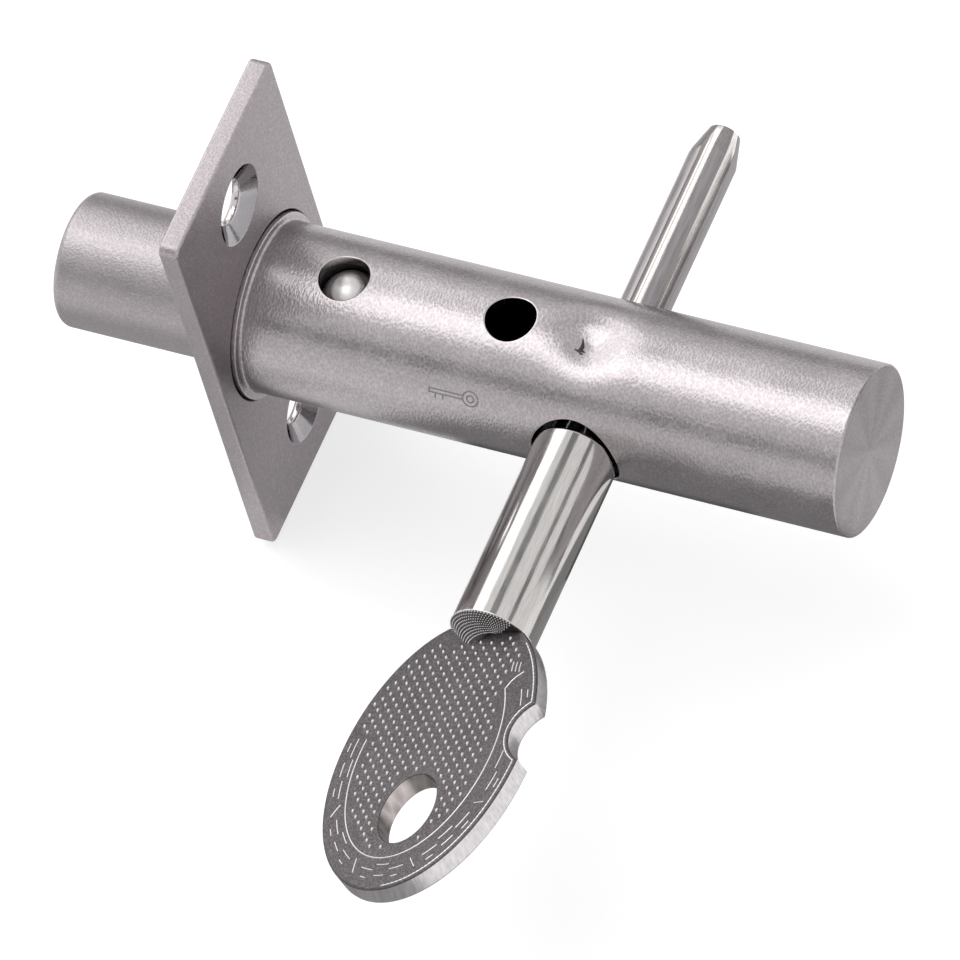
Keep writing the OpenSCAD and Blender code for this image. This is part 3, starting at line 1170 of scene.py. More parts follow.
@dataclass
class Bolt:
    """The round bolt: nose, body and the rack that runs under the key's bit."""

    nose: float = 7.1
    nose_x: float = -21.7
    nose_round: float = 0.9
    nose_wall_x: float = -19.0
    nose_rows: int = 12
    shoulder_x: float = 1.0
    shoulder_edge: float = 0.3
    body: float = 7.85
    body_end: float = 14.1
    rack_end: float = 42.0
    tip: float = -1.6
    middle: float = -2.35
    root: float = -2.76
    rack_middle_z: float = -4.5
    tooth_at: tuple[float, ...] = (0.92, 0.69, 0.36)
    pitch: float = 2.1991
    mesh_x: float = 36.4105
    pocket: Drilling = Drilling(9.8, 0.0, 3.05, margin=0.8, rim=0.15)
    pocket_floor: float = -5.0
    body_rows: int = 34
    columns: int = 144

    def side(self, x: Points, angle: Points) -> Points:
        """Points of the body: its radius carried round the axis.

        Args:
            x: Distances along the tube.
            angle: Angles from the top, radians.

        Returns:
            The points, in the shape of x by 3.
        """
        return about_x(x, angle, self.body)

    def drilled_body(self, shell: Shell) -> None:
        """The full part of the body, with the ball's pocket.

        Args:
            shell: The bolt's shell.
        """
        rows = np.linspace(self.shoulder_x + self.shoulder_edge, self.body_end, self.body_rows)
        keep = np.ones((len(rows) - 1, self.columns), bool)
        loop = self.pocket.loop(self.body, rows, self.columns, keep)
        self.pocket.surround(shell, self.side, self.body, loop, self.pocket.rim, 2)
        floor = np.full(len(loop[2]), self.pocket_floor)
        ring = self.pocket.wall(shell, self.body, loop[2], floor, 2)
        shell.pole(ring, [self.pocket.x, 0.0, self.pocket_floor], 1)
        grid_x, grid_turn = np.meshgrid(rows, full_turn(self.columns), indexing="ij")
        shell.grid(self.side(grid_x, grid_turn), 2, keep)

    def rack_heights(self) -> Section:
        """Distance and height along the rack: a flat tip, then a gap's two slopes and its root.

        Returns:
            Distance and height of each of its corners.
        """
        gaps = self.mesh_x + self.pitch * np.arange(-9, 2)
        half = np.array(self.tooth_at)
        offsets = np.concatenate([-half, half[::-1]])
        heights = np.array([self.tip, self.middle, self.root])
        heights = np.concatenate([heights, heights[::-1]])
        x = np.concatenate([[self.body_end], (gaps[:, None] + offsets).ravel(), [self.rack_end]])
        z = np.concatenate([[self.tip], np.tile(heights, len(gaps)), [self.tip]])
        keep = (x >= self.body_end) & (x <= self.rack_end)
        return np.stack([x[keep], z[keep]], axis=-1)

    def rack(self) -> Points:
        """Loops of the rack: a chord at the tooth's height and the arc of the body below it.

        Returns:
            Rows by columns by 3, of which the first row is the whole body's circle.
        """
        heights = self.rack_heights()
        turn = (full_turn(self.columns) + np.pi) % (2 * np.pi) - np.pi
        x = np.concatenate([[self.body_end], heights[:, 0]])
        z = np.concatenate([[self.body], heights[:, 1]])
        limit = np.arccos(self.tip / self.body)
        top = np.abs(turn) <= limit
        edge = np.arccos(np.clip(z / self.body, -1, 1))[:, None]
        outer = np.sign(turn) * (edge + (np.abs(turn) - limit) * (np.pi - edge) / (np.pi - limit))
        chord_y = np.sin(edge) * self.body * (turn[None] / limit)
        y = np.where(top[None], chord_y, self.body * np.sin(outer))
        height = np.where(top[None], z[:, None], self.body * np.cos(outer))
        y[0], height[0] = self.body * np.sin(turn), self.body * np.cos(turn)
        return np.stack([np.repeat(x[:, None], self.columns, 1), -y, height], axis=-1)

    def build(self, finishes: Finishes) -> None:
        """Builds the bolt.

        Args:
            finishes: Nose, rack and body finishes.
        """
        shell = Shell()
        soft, edge = self.nose_round, self.shoulder_edge
        front = arc((self.nose_x + soft, self.nose - soft), soft, 180, 90, 8)
        rows = np.linspace(self.nose_wall_x, self.shoulder_x, self.nose_rows)
        along = np.column_stack([rows, np.full(len(rows), self.nose)])
        walls = turned(np.vstack([front, along]), self.columns)
        shell.grid(walls)
        shell.pole(walls[0], [self.nose_x, 0.0, 0.0])
        shoulder = np.array(
            [[self.shoulder_x, self.nose], [self.shoulder_x, self.body - edge],
             [self.shoulder_x + edge, self.body]]
        )
        shell.grid(turned(shoulder, self.columns), 1)
        self.drilled_body(shell)
        rack = self.rack()
        shell.grid(rack, 1)
        shell.pole(rack[-1], [self.rack_end, 0.0, self.rack_middle_z], 1)
        piece = shell.build("sliding_bolt", finishes)
        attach(piece, "bolt")
        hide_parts("bolt")


@dataclass
class DetentBall:
    """The sprung ball, with a small flat on its top."""

    x: float = 9.8
    z: float = 4.85
    radius: float = 3.0
    flat: float = 0.02
    columns: int = 64

    def build(self, finishes: Finishes) -> None:
        """Builds the ball.

        Args:
            finishes: The ball's finish.
        """
        rise = np.radians(np.linspace(-90, 90, 34))[1:-1]
        turn = full_turn(self.columns)
        ring = self.radius * np.cos(rise)[:, None]
        height = np.minimum(self.radius * np.sin(rise), self.radius - self.flat)
        up = np.repeat(height[:, None], self.columns, axis=1)
        points = np.stack([self.x + ring * np.cos(turn), ring * np.sin(turn), self.z + up], -1)
        shell = Shell()
        shell.grid(points)
        shell.pole(points[0], [self.x, 0.0, self.z - self.radius])
        shell.pole(points[-1], [self.x, 0.0, self.z + self.radius - self.flat])
        piece = shell.build("latch_ball", finishes, weighted=False)
        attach(piece, "ball")
        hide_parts("detent_ball")


# ---------------------------------------------------------------- key


@dataclass
class KeyShank:
    """The polished sleeve between the bow and the tube."""

    x: float = 37.4
    start: float = -31.2
    end: float = -8.2
    radius: float = 4.45
    bore: float = 2.6
    start_edge: float = 0.15
    edge: float = 0.4
    columns: int = 128

    def build(self, finishes: Finishes) -> None:
        """Builds the sleeve.

        Args:
            finishes: The sleeve's finish.
        """
        soft = self.start_edge
        near = arc((self.start + soft, self.radius - soft), soft, 180, 90, 4)
        far = arc((self.end - self.edge, self.radius - self.edge), self.edge, 90, 0, 6)
        bore = np.array([[self.end, self.bore], [self.start, self.bore]])
        along_x = turned(np.vstack([near, far, bore, near[:1]]), self.columns)
        shell = Shell()
        shell.grid(along_x[..., [1, 0, 2]] * [-1, 1, 1] + [self.x, 0, 0])
        piece = shell.build("key_sleeve", finishes)
        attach(piece, "key")
        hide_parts("key_shank")


@dataclass
class KeyBit:
    """The ribbed rod: a root inside the sleeve, a pinion in the tube and a splined free end."""

    x: float = 37.4
    ribs: int = 6
    turn: float = 27.0
    radius: float = 2.64
    groove: float = 1.9
    groove_band: float = 0.3
    rib: float = 1.5
    sharpness: float = 40.0
    core: float = 1.5
    lobe: float = 0.62
    lobe_at: float = 2.02
    root: float = 2.58
    root_y: float = -26.7
    root_edge: float = 0.2
    pinion_y: float = -8.0
    spline_y: float = 8.2
    tip_y: float = 32.2
    tip_l: float = 3.9
    tip_r: float = 1.7
    tip_edge: float = 0.06
    cone_lead: float = 0.1
    tip_lead: float = 0.02
    tip_round: float = 0.05
    spline_rows: int = 24
    cone_rows: int = 18
    corner_at: tuple[float, ...] = (-0.8, -0.2, 0.4, 1.1)
    foot_at: tuple[float, ...] = (-1.0, -0.2, 0.6, 1.5)

    def angles(self) -> np.ndarray:
        """Angles round the rod, from its first rib, closer together at a rib's corners.

        Returns:
            The angles, radians.
        """
        corner = math.degrees(math.asin(self.rib / 2 / self.radius))
        foot = math.degrees(math.asin(self.rib / 2 / self.groove))
        half = np.concatenate(
            [np.linspace(0, corner - 1.6, 5), corner + np.array(self.corner_at),
             np.linspace(corner + 2.2, foot - 1.8, 3), foot + np.array(self.foot_at),
             np.linspace(foot + 2.6, 180 / self.ribs, 3)]
        )
        one = np.concatenate([-half[:0:-1], half[:-1]])
        return np.radians((one[None] + 360 / self.ribs * np.arange(self.ribs)[:, None]).ravel())

    def off_rib(self, angle: np.ndarray) -> np.ndarray:
        """Angles from the nearest rib.

        Args:
            angle: Angles from the first rib, radians.

        Returns:
            The angles, negative before the rib.
        """
        pitch = 2 * np.pi / self.ribs
        return (angle + pitch / 2) % pitch - pitch / 2

    def splined(self, angle: np.ndarray) -> np.ndarray:
        """Radius of the splined section: a rib's parallel sides and round crown over the groove.

        Args:
            angle: Angles from the first rib, radians.

        Returns:
            The radii.
        """
        side = self.rib / 2 / np.maximum(np.sin(np.abs(self.off_rib(angle))), 1e-3)
        soft = self.sharpness
        crown = -np.log(np.exp(-soft * np.minimum(side, 9)) + np.exp(-soft * self.radius)) / soft
        return np.log(np.exp(soft * crown) + np.exp(soft * self.groove)) / soft

    def pinion(self, angle: np.ndarray) -> np.ndarray:
        """Radius of the pinion section: round lobes on a thinner core.

        Args:
            angle: Angles from the first rib, radians.

        Returns:
            The radii.
        """
        away = self.off_rib(angle)
        inside = np.maximum(self.lobe**2 - (self.lobe_at * np.sin(away)) ** 2, 0.0)
        lobe = np.where(inside > 0, self.lobe_at * np.cos(away) + np.sqrt(inside), 0.0)
        return np.maximum(self.core, lobe)

    def build(self, finishes: Finishes) -> None:
        """Builds the rod.

        Args:
            finishes: Crown and groove finishes.
        """
        angle = self.angles()
        splined, pinion = self.splined(angle), self.pinion(angle)
        cone_y, edge_y = self.tip_y - self.tip_l, self.tip_y - self.tip_edge
        outer_y = np.concatenate(
            [[self.spline_y], np.linspace(self.spline_y + 0.01, cone_y, self.spline_rows),
             np.linspace(cone_y + 0.2, edge_y, self.cone_rows), [self.tip_y]]
        )
        cone = np.interp(outer_y, [cone_y, edge_y, self.tip_y],
                         [self.radius + self.cone_lead, self.tip_r + self.tip_lead,
                          self.tip_r - self.tip_round])
        outer = np.minimum(splined[None], cone[:, None])
        outer[0] = pinion
        root = np.full(len(angle), self.root)
        radius = np.vstack([root - self.root_edge, root, root, pinion, outer])
        y = np.concatenate(
            [[self.root_y, self.root_y + self.root_edge, self.pinion_y, self.pinion_y], outer_y]
        )
        down = np.radians(self.turn) + angle
        points = np.stack(
            [self.x - radius * np.sin(down), np.repeat(y[:, None], len(angle), 1),
             -radius * np.cos(down)], axis=-1
        )
        shell = Shell()
        low = (splined < self.groove + self.groove_band)[None] & (y > self.spline_y)[:, None]
        groove = (low[:-1] | low[1:]) & (np.roll(low, -1, axis=1) | low)[:-1]
        shell.grid(points, 0, ~groove)
        shell.grid(points, 1, groove)
        shell.pole(points[0], [self.x, self.root_y, 0.0])
        shell.pole(points[-1], [self.x, self.tip_y, 0.0])
        piece = shell.build("key_ribbed_bit", finishes, sharp=50)
        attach(piece, "key")
        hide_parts("key_bit")


@dataclass
class KeyBow:
    """The oval bow: edge, ring hole, side notch, neck, raised dots, border and plain dashes."""

    x: float = 37.4
    turn: float = 19.0
    width: float = 21.6
    length: float = 33.4
    thick: float = 2.5
    middle: float = -46.4
    top: float = -31.22
    edge: float = 0.25
    brim: float = 0.07
    notch: float = 3.9
    notch_u: float = 12.3
    notch_v: float = -42.9
    ring_u: float = 0.45
    ring_v: float = -53.2
    ring_w: float = 6.1
    ring_l: float = 8.4
    ring_soft: float = 0.45
    neck: float = 4.45
    neck_l: float = 2.4
    neck_gap: float = 0.08
    knurl_bead: float = 0.1
    knurl_columns: int = 80
    knurl_rows: int = 10
    knurl_end: float = 0.8
    knurl_open: float = 0.85
    dot_pitch_u: float = 1.34
    dot_pitch_v: float = 1.36
    dot_wide: float = 0.62
    dot_long: float = 1.15
    dot_sides: int = 8
    dot_shift: float = 0.1
    dot_border_gap: float = 0.8
    dot_rim_gap: float = 0.9
    dot_ring_gap: float = 0.6
    dot_top_gap: float = 0.5
    dot_neck_gap: float = 0.3
    open_v: float = -44.5
    open_u: float = 5.2
    open_top: float = -34.6
    border_at: tuple[float, float] = (-0.4, -46.6)
    border_u: float = 7.95
    border_v: float = 12.7
    rope_pitch: float = 0.48
    rope_wide: float = 0.1
    rope_tall: float = 0.045
    rope_inset: float = 0.12
    rope_top_gap: float = 1.2
    rope_u: float = 1.5
    mark_pitch: float = 10.5
    mark_gap: float = 0.5
    border_wide: float = 0.08
    line_wide: float = 0.07
    line_tall: float = 0.055
    tick_us: tuple[float, ...] = (5.2, 5.65, 6.1)

    def place(self, flat: Points) -> Points:
        """Turns points of the bow's own u, v and height into the frame.

        Args:
            flat: Points with u across the bow, v along the key and height off its middle.

        Returns:
            The points in the frame.
        """
        c, s = math.cos(math.radians(self.turn)), math.sin(math.radians(self.turn))
        u, v, h = flat[..., 0], flat[..., 1], flat[..., 2]
        return np.stack([self.x + u * c - h * s, v, u * s + h * c], axis=-1)

    def on_face(self, flat: Points, side: int) -> Points:
        """Turns points of u, v and height off a face into the frame.

        Args:
            flat: Points with the height counted outward from the face.
            side: 1 for the upper face and -1 for the lower.

        Returns:
            The points in the frame.
        """
        return self.place(flat * [1, 1, side] + [0, 0, side * self.thick / 2])

    def neck_length(self, side: Points) -> Points:
        """Length of the neck: it narrows fast on the plate's far side, slowly on its near side.

        Args:
            side: Place across the plate, from -1 to 1.

        Returns:
            The lengths, in the shape of side.
        """
        return self.neck_l * (0.52 - 0.48 * side)

    def on_neck(self, share: Points, turn: Points) -> Points:
        """Points of the neck, which narrows evenly from the sleeve to the plate.

        Args:
            share: 0 at the sleeve and 1 at the plate.
            turn: Angle round the key's axis from +Z towards +X, radians.

        Returns:
            The points, in the shape of share by 3.
        """
        length = self.neck_length(np.sin(turn + math.radians(self.turn)))
        radius = self.neck + (self.thick / 2 - self.neck) * share
        y = self.top - self.neck_gap - length * share
        return np.stack([self.x + radius * np.sin(turn), y, radius * np.cos(turn)], axis=-1)

    def outline(self, inset: float) -> Section:
        """Outline: an ellipse with a round bite, both moved in by the inset, cut off at the neck.

        Args:
            inset: Distance inside the outer edge.

        Returns:
            Points of u and v.
        """
        a, b = self.width / 2 - inset, self.length / 2 - inset
        reach = self.notch + inset
        fine = np.linspace(-np.pi / 2, np.pi / 2, 4001)
        u, v = a * np.cos(fine), self.middle + b * np.sin(fine)
        bitten = np.hypot(u - self.notch_u, v - self.notch_v) < reach
        low, high = fine[bitten][0], fine[bitten][-1]
        turn = np.linspace(high, low + 2 * np.pi, 260)
        oval = np.stack([a * np.cos(turn), self.middle + b * np.sin(turn)], axis=-1)
        ends = oval[[-1, 0]] - [self.notch_u, self.notch_v]
        angles = np.arctan2(ends[:, 1], ends[:, 0]) % (2 * np.pi)
        bite = np.linspace(angles[0], angles[1], 42)[1:-1]
        bite_u, bite_v = self.notch_u + reach * np.cos(bite), self.notch_v + reach * np.sin(bite)
        points = np.vstack([oval, np.stack([bite_u, bite_v], axis=-1)])
        points[:, 1] = np.minimum(points[:, 1], self.top - inset)
        return points

    def ring(self, inset: float) -> Section:
        """The key ring hole: an ellipse grown by the inset.

        Args:
            inset: Distance outside the hole's wall.

        Returns:
            Points of u and v.
        """
        turn = full_turn(72)
        return np.stack(
            [self.ring_u + (self.ring_w / 2 + inset) * np.cos(turn),
             self.ring_v + (self.ring_l / 2 + inset) * np.sin(turn)], axis=-1
        )

    @staticmethod
    def raised(section: Section, height: float) -> Points:
        """Gives every point of a section the same height.

        Args:
            section: Points of u and v.
            height: Height off the bow's middle.

        Returns:
            Points of u, v and height.
        """
        return np.column_stack([section, np.full(len(section), height)])

    def build(self, finishes: Finishes) -> None:
        """Builds the bow and its raised pattern.

        Args:
            finishes: Face, wall, hole and raised finishes.
        """
        shell = Shell()
        half = self.thick / 2
        bend = np.radians(np.linspace(0, 90, 4))
        inset = self.edge * (1 - np.sin(bend))
        rise = half - self.edge * (1 - np.cos(bend))
        sections = ((self.outline, 1.0, 1), (self.ring, self.ring_soft, 2))
        for section, share, slot in sections:
            upper = [self.raised(section(i * share), half - (half - r) * share)
                     for i, r in zip(inset, rise)]
            lower = [points * [1, 1, -1] for points in upper[::-1]]
            walls = self.place(np.stack(upper + lower))
            shell.grid(walls[:4])
            shell.grid(walls[3:5], slot)
            shell.grid(walls[4:], slot)
        for height in (half, -half):
            loops = []
            for section, share, _ in sections:
                rows = [section(self.edge * share + self.brim * step) for step in BRIM_STEPS]
                steps = self.place(np.stack([self.raised(points, height) for points in rows]))
                shell.grid(steps)
                loops.append(steps[-1])
            shell.flat(loops)
        neck = self.on_neck(*np.meshgrid(np.linspace(0, 1, 12), full_turn(96), indexing="ij"))
        neck = np.concatenate([neck[:1] * [1, 0, 1] + [0, self.top, 0], neck])
        shell.grid(neck)
        shell.pole(neck[-1], neck[-1].mean(axis=0))
        shell.pole(neck[0], [self.x, self.top, 0.0])
        bow = shell.build("key_bow_plate", finishes[:3], sharp=35)
        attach(bow, "key")
        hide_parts("key_bow")
        self.pattern(finishes[3:])

    def pattern(self, finishes: Finishes) -> None:
        """Builds the raised dots, border and dashes of both faces, and the neck's knurl.

        Args:
            finishes: The raised finish.
        """
        shell = Shell()
        half, sides = self.thick / 2, self.dot_sides
        turn = full_turn(sides)
        rings = np.array([[0.0, -0.05], [0.27, -0.05], [0.24, 0.05], [0.13, 0.14], [0.0, 0.17]])
        reach, lift = rings[:, :1], np.repeat(rings[:, 1:], sides, axis=1)
        places = self.raised(self.dot_places(), 0.0)
        moved = self.place(places) - self.place(np.zeros((1, 3)))
        for side in (1, -1):
            dot = np.stack([reach * np.cos(turn) * self.dot_wide,
                            reach * np.sin(turn) * self.dot_long, side * (half + lift)], axis=-1)
            shell.stamp(self.place(dot), moved)
            for path, wide, tall in self.ridges():
                ridge(shell, path, wide, tall, lambda flat, side=side: self.on_face(flat, side))
        self.knurl(shell)
        piece = shell.build("bow_raised_pattern", finishes, sharp=60, weighted=False)
        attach(piece, "key")

    def dot_places(self) -> Section:
        """Middles of the dots: a centred lattice inside the border and off the ring hole.

        Returns:
            Points of u and v.
        """
        pitch = np.array([self.dot_pitch_u, self.dot_pitch_v])
        u, v = np.meshgrid(np.arange(-9, 10) * pitch[0], np.arange(-14, 14) * pitch[1])
        first = np.stack([u.ravel(), v.ravel()], axis=-1)
        both = np.vstack([first, first + pitch / 2]) + [self.dot_shift, self.middle]
        u, v = both[:, 0], both[:, 1]

        def within(at_u: float, at_v: float, half_u: float, half_v: float) -> np.ndarray:
            """Distance of u and v from an ellipse's middle, 1 on its line.

            Args:
                at_u: Its middle, across the bow.
                at_v: Its middle, along the key.
                half_u: Half its width.
                half_v: Half its length.

            Returns:
                The distances.
            """
            return np.hypot((u - at_u) / half_u, (v - at_v) / half_v)

        gap = self.dot_border_gap
        border = within(*self.border_at, self.border_u - gap, self.border_v - gap)
        gap = self.dot_rim_gap
        oval = within(0.0, self.middle, self.width / 2 - gap, self.length / 2 - gap)
        gap = self.dot_ring_gap
        ring = within(self.ring_u, self.ring_v, self.ring_w / 2 + gap, self.ring_l / 2 + gap)
        open_part = (v > self.open_v) & ((u < self.open_u) | (v > self.open_top))
        inside = (border < 1) | (open_part & (oval < 1))
        neck = self.top - self.dot_neck_gap - self.neck_length(u / self.neck)
        clear_of_neck = (np.abs(u) > self.neck) | (v < neck)
        return both[inside & (ring > 1) & (v < self.top - self.dot_top_gap) & clear_of_neck]

    def knurl(self, shell: Shell) -> None:
        """Crossed rows of small beads on the neck's cone, between the sleeve and the bow.

        Args:
            shell: The pattern's shell.
        """
        share, turn = np.meshgrid(
            np.linspace(0.0, self.knurl_end, self.knurl_rows),
            full_turn(self.knurl_columns), indexing="ij",
        )
        turn[1::2] += np.pi / self.knurl_columns
        left = np.sin(turn + math.radians(self.turn)) < self.knurl_open
        rise = np.radians(np.array([-90.0, -80.0, -30, 30, 80, 90.0]))[:, None]
        ring = full_turn(6)
        bead = self.knurl_bead * np.stack(
            [np.cos(rise) * np.cos(ring), np.repeat(np.sin(rise), 6, 1),
             np.cos(rise) * np.sin(ring)], axis=-1
        )
        shell.stamp(bead, self.on_neck(share, turn)[left])

    def ridges(self) -> list[tuple[Section, float | np.ndarray, float | np.ndarray]]:
        """Lines that stand up from the face: rope at the rim, border and dashes of the band.

        Returns:
            Path, half width and height of each line.
        """
        turn = np.radians(np.linspace(-186, 41, 150))
        border = np.stack(
            [self.border_at[0] + self.border_u * np.cos(turn),
             self.border_at[1] + self.border_v * np.sin(turn)], axis=-1
        )
        hook = np.array([[5.95, -37.3], [6.35, -36.7], [6.95, -36.1]])
        wide, tall = self.line_wide, self.line_tall
        lines = [(np.vstack([border, hook]), self.border_wide, tall), self.rope()]
        for u in self.tick_us:
            tick = np.array([[u, -35.0], [u + 0.1, -35.6], [u + 0.25, -36.2]])
            lines.append((tick, wide, wide))
        for number, degrees in enumerate(np.arange(-180, 34, self.mark_pitch)):
            for share, spread in self.marks(number):
                bend = math.radians(degrees) + np.linspace(-spread, spread, 6)
                reach = np.linspace(share[0], share[1], 6)
                mark = np.stack([self.width / 2 * reach * np.cos(bend),
                                 self.middle + self.length / 2 * reach * np.sin(bend)], axis=-1)
                away = np.hypot(mark[:, 0] - self.notch_u, mark[:, 1] - self.notch_v)
                if away.min() > self.notch + self.mark_gap:
                    lines.append((mark, wide, tall))
        return lines

    def rope(self) -> tuple[Section, np.ndarray, np.ndarray]:
        """Beaded line along the rim's right side, with its half widths and heights.

        Returns:
            Points of u and v, half widths and heights.
        """
        rim = self.outline(self.edge + self.rope_inset)
        rim = rim[rim[:, 1] < self.top - self.rope_top_gap]
        first = int(np.argmax(np.linalg.norm(np.roll(rim, -1, 0) - rim, axis=1))) + 1
        rim = np.roll(rim, -first, axis=0)
        length = np.concatenate([[0], np.cumsum(np.linalg.norm(np.diff(rim, axis=0), axis=1))])
        even = np.arange(0, length[-1], self.rope_pitch / 3)
        rope = np.stack([np.interp(even, length, rim[:, k]) for k in (0, 1)], axis=-1)
        right = rope[:, 0] > self.rope_u
        bead = (0.75 + 0.25 * np.cos(2 * np.pi * even / self.rope_pitch))[right]
        return rope[right], self.rope_wide * bead, self.rope_tall * bead

    @staticmethod
    def marks(number: int) -> list[tuple[tuple[float, float], float]]:
        """Plain marks at one place of the outer band: two dashes along it, or one slanted tick.

        Args:
            number: Number of the place.

        Returns:
            Shares of the bow's half width at the ends, and the half angle, of each mark.
        """
        if number % 4 == 3:
            return [((0.83, 0.92), 0.03)]
        if number % 2 == 1:
            return [((0.82, 0.82), 0.08), ((0.9, 0.9), 0.06)]
        return [((0.86, 0.86), 0.08), ((0.92, 0.92), 0.035)]


# ---------------------------------------------------------------- studio


def rectangle(name: str, half_x: float, half_y: float, z: float = 0.0) -> bpy.types.Object:
    """Makes a flat rectangle, in metres.

    Args:
        name: Name of the object.
        half_x: Half its length.
        half_y: Half its width.
        z: Its height.

    Returns:
        The object.
    """
    corners = [(x * half_x, y * half_y, z) for x, y in ((-1, -1), (1, -1), (1, 1), (-1, 1))]
    mesh = bpy.data.meshes.new(name)
    mesh.from_pydata(corners, [], [(0, 1, 2, 3)])
    made = bpy.data.objects.new(name, mesh)
    bpy.context.scene.collection.objects.link(made)
    return made


def plain(
    made: bpy.types.Object, name: str, inputs: dict[str | int, object]
) -> tuple[Nodes, bpy.types.Node]:
    """Gives an object a plain material that shines by itself and has no gloss.

    Args:
        made: The object.
        name: Name of the material.
        inputs: Constants of the shader.

    Returns:
        The material's nodes and its shader.
    """
    material = bpy.data.materials.new(name)
    material.use_nodes = True
    nodes = Nodes(material.node_tree)
    shader = material.node_tree.nodes["Principled BSDF"]
    nodes.feed(shader, {"Specular IOR Level": 0.0, "Emission Color": WHITE, **inputs})
    made.data.materials.append(material)
    return nodes, shader


@dataclass(frozen=True)
class Softbox:
    """A rectangle that faces the lock from a direction, or lies flat, along a given axis."""

    name: str
    towards: tuple[float, float, float]
    distance: float
    size: tuple[float, float]
    radiance: float
    along: tuple[float, float, float] = (1.0, 0.0, 0.0)
    flat: bool = False

    def place(self, made: bpy.types.Object, target: Vector) -> None:
        """Stands the object at its distance, facing the target.

        Args:
            made: The lamp or card.
            target: The point it faces.
        """
        away = Vector(self.towards).normalized()
        facing = Vector((0.0, 0.0, 1.0)) if self.flat else away
        along = Vector(self.along)
        along = (along - along.dot(facing) * facing).normalized()
        turn = Matrix([along, facing.cross(along), facing]).transposed().to_4x4()
        made.matrix_world = Matrix.Translation(target + away * self.distance) @ turn

    def build(self, target: Vector) -> None:
        """Builds a soft lamp.

        Args:
            target: The point it looks at.
        """
        lamp = bpy.data.lights.new(self.name, "AREA")
        lamp.shape = "RECTANGLE"
        lamp.size, lamp.size_y = self.size
        lamp.energy = self.radiance * self.size[0] * self.size[1] * math.pi
        made = bpy.data.objects.new(self.name, lamp)
        bpy.context.scene.collection.objects.link(made)
        self.place(made, target)
        made.visible_camera = False


class Flag(Softbox):
    """A grey card beside the lock that is only met in reflections, as dark bands on the metal."""

    def build(self, target: Vector) -> None:
        """Builds the card.

        Args:
            target: The point it faces.
        """
        made = rectangle(self.name, self.size[0] / 2, self.size[1] / 2)
        plain(made, self.name, {"Base Color": BLACK, "Emission Strength": self.radiance})
        self.place(made, target)
        made.visible_camera = made.visible_diffuse = made.visible_shadow = False


@dataclass
class Studio:
    """Camera, floor, world and soft lamps."""

    right: tuple[float, float, float] = (0.910691, 0.374946, -0.173371)
    down: tuple[float, float, float] = (0.225662, -0.803094, -0.551468)
    ahead: tuple[float, float, float] = (-0.346004, 0.463094, -0.815981)
    camera_at: tuple[float, float, float] = (552.278, -714.399, 1234.016)
    lens: float = 562.5
    sensor: float = 36.0
    floor_z: float = -0.0275
    floor_half: float = 1.6
    floor_colour: float = 0.6
    floor_lift: float = 0.58
    world_level: float = 0.72
    target: tuple[float, float, float] = (0.025, -0.01, 0.0)

    def camera(self) -> None:
        """Places the camera where the photograph was taken."""
        data = bpy.data.cameras.new("photo_camera")
        data.lens = self.lens
        data.sensor_width = self.sensor
        data.clip_start, data.clip_end = 0.05, 20.0
        made = bpy.data.objects.new("photo_camera", data)
        bpy.context.scene.collection.objects.link(made)
        matrix = np.eye(4)
        matrix[:3, :3] = (np.array([self.right, self.down, self.ahead]) * [[1], [-1], [-1]]).T
        matrix[:3, 3] = np.array(self.camera_at) * MM
        made.matrix_world = Matrix(matrix.tolist())
        bpy.context.scene.camera = made

    @staticmethod
    def seen(nodes: Nodes) -> bpy.types.NodeSocket:
        """Mask that is 1 for camera, glossy and transmission rays.

        Args:
            nodes: Nodes of the tree that gets it.

        Returns:
            The mask.
        """
        path = nodes.add("LightPath").outputs
        mask = nodes.math("MAXIMUM", path["Is Camera Ray"], path["Is Glossy Ray"])
        return nodes.math("MAXIMUM", mask, path["Is Transmission Ray"])

    def world(self) -> None:
        """White where it is seen, and a lower even light on everything else."""
        world = bpy.data.worlds.new("studio_world")
        bpy.context.scene.world = world
        world.use_nodes = True
        nodes = Nodes(world.node_tree)
        level = nodes.math(
            "MULTIPLY_ADD", self.seen(nodes), 1.0 - self.world_level, self.world_level
        )
        nodes.feed(world.node_tree.nodes["Background"], {"Color": WHITE, "Strength": level})

    def floor(self) -> None:
        """A pale floor that takes the lock's shadow and is lifted to white where it is lit."""
        floor = rectangle("studio_floor", self.floor_half, self.floor_half, self.floor_z)
        colour = (self.floor_colour,) * 3 + (1.0,)
        nodes, shader = plain(floor, "pale_floor", {"Base Color": colour, "Roughness": 1.0})
        lift = nodes.math("MULTIPLY", self.seen(nodes), self.floor_lift)
        nodes.feed(shader, {"Emission Strength": lift})

    def build(self) -> None:
        """Builds the whole studio."""
        self.camera()
        self.world()
        self.floor()
        for lamp in LAMPS:
            lamp.build(Vector(self.target))
        bpy.context.scene.view_settings.view_transform = "Standard"


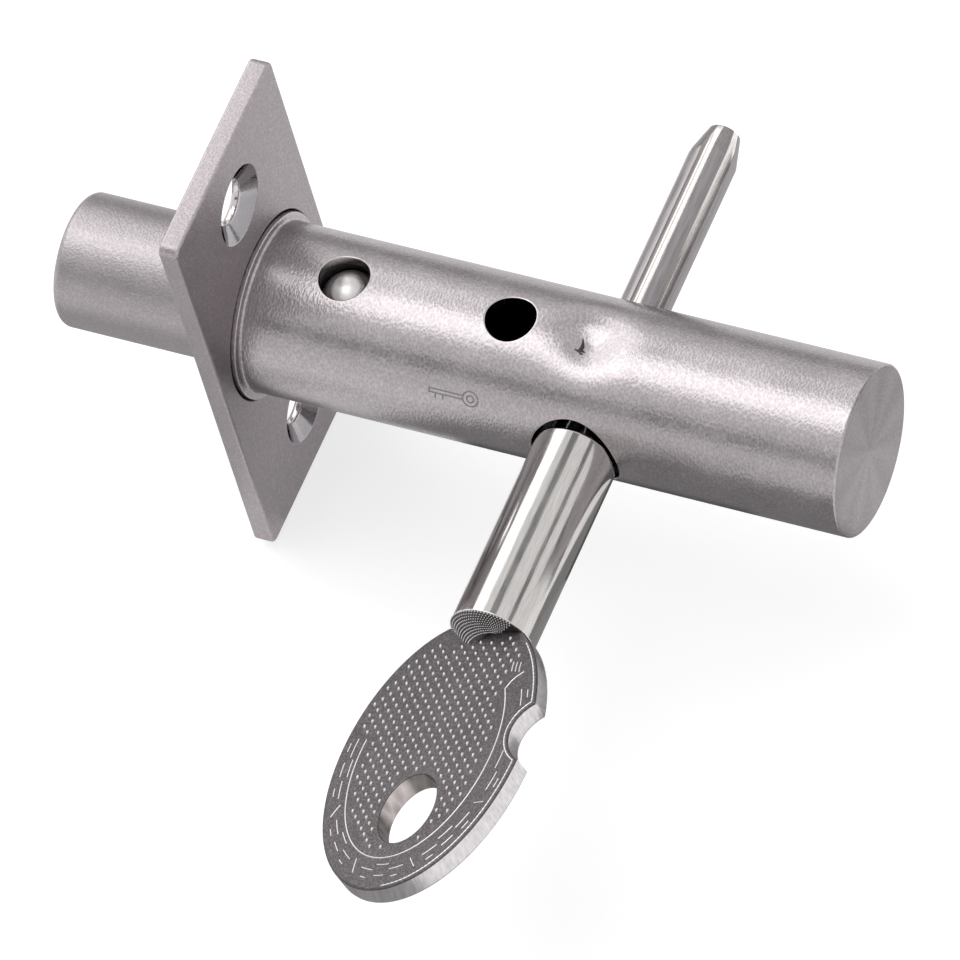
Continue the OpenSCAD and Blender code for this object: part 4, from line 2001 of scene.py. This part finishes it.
ALONG_KEY = (0.0, 1.0, 0.0)
LAMPS = [
    Softbox("main_softbox", (-0.34, 0.06, 0.93), 0.8, (0.7, 0.45), 1.7),
    Softbox("left_softbox", (-0.742, 0.463, 0.482), 0.8, (0.62, 0.76), 1.25, ALONG_KEY),
    Flag("front_flag", (-0.355, -0.766, 0.536), 0.7, (0.5, 0.16), 0.2),
    Flag("back_flag", (-0.355, 0.93, 0.06), 0.16, (0.4, 0.06), 0.45),
    Flag("top_flag", (0.0, 0.463, 0.886), 0.7, (0.1, 0.19), 0.3, ALONG_KEY),
    Flag("right_flag", (0.648, 0.463, 0.604), 0.7, (0.1, 0.12), 0.25, ALONG_KEY),
    Flag("side_flag", (0.885, 0.463, 0.0), 0.09, (0.04, 0.05), 0.22, ALONG_KEY),
    # These four flat cards lie on the floor where the lock's shadow falls: painted shadow, seen
    # only in reflections.
    Flag("front_painted_floor_shadow", (0.19, -0.93, -0.36), 0.0735, (0.064, 0.136), 0.35, flat=True),
    Flag("right_painted_floor_shadow", (0.8566, 0.0761, -0.5102), 0.0525, (0.044, 0.02), 0.3, flat=True),
    Flag("left_painted_floor_shadow", (-0.8099, 0.27, -0.5207), 0.05186, (0.046, 0.026), 0.6, flat=True),
    Flag("under_painted_floor_shadow", (0.25, 0.07, -0.966), 0.028, (0.034, 0.032), 0.12, flat=True),
    Flag("nose_table_flag", (-0.84, -0.3685, -0.398), 0.06785, (0.05, 0.046), 0.7, flat=True),
]


def main() -> None:
    """Builds the studio and the lock."""
    logging.basicConfig(level=logging.INFO, format="%(message)s")
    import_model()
    Studio().build()
    finish = Groups()
    # The bore, the bolt's shoulder and rack, and the dimple's punch mark take the near-black
    # painted shade.
    TubeHousing().build(finish(TUBE_STEEL, PAINTED_SHADE_STEEL, HOLE_STEEL))
    EndCap().build(finish(TUBE_STEEL, CAP_STEEL))
    Faceplate().build(finish(PLATE_STEEL, CONE_STEEL, HOLE_STEEL))
    Bolt().build(finish(BOLT_STEEL, PAINTED_SHADE_STEEL, BODY_STEEL))
    DetentBall().build(finish(BALL_CHROME))
    KeyShank().build(finish(SHANK_CHROME))
    KeyBit().build(finish(BIT_CHROME, GROOVE_CHROME))
    KeyBow().build(finish(BOW_NICKEL, BOW_WALL, BOW_HOLE, BOW_EDGE))
    TubeHousing().punch_mark(finish(PAINTED_SHADE_STEEL))
    EtchedMark().build(finish(MARK_STEEL))
    spring = bpy.data.objects["detent_spring"]
    spring.data.materials.clear()
    spring.data.materials.append(finish(BALL_CHROME)[0])


if __name__ == "__main__":
    main()
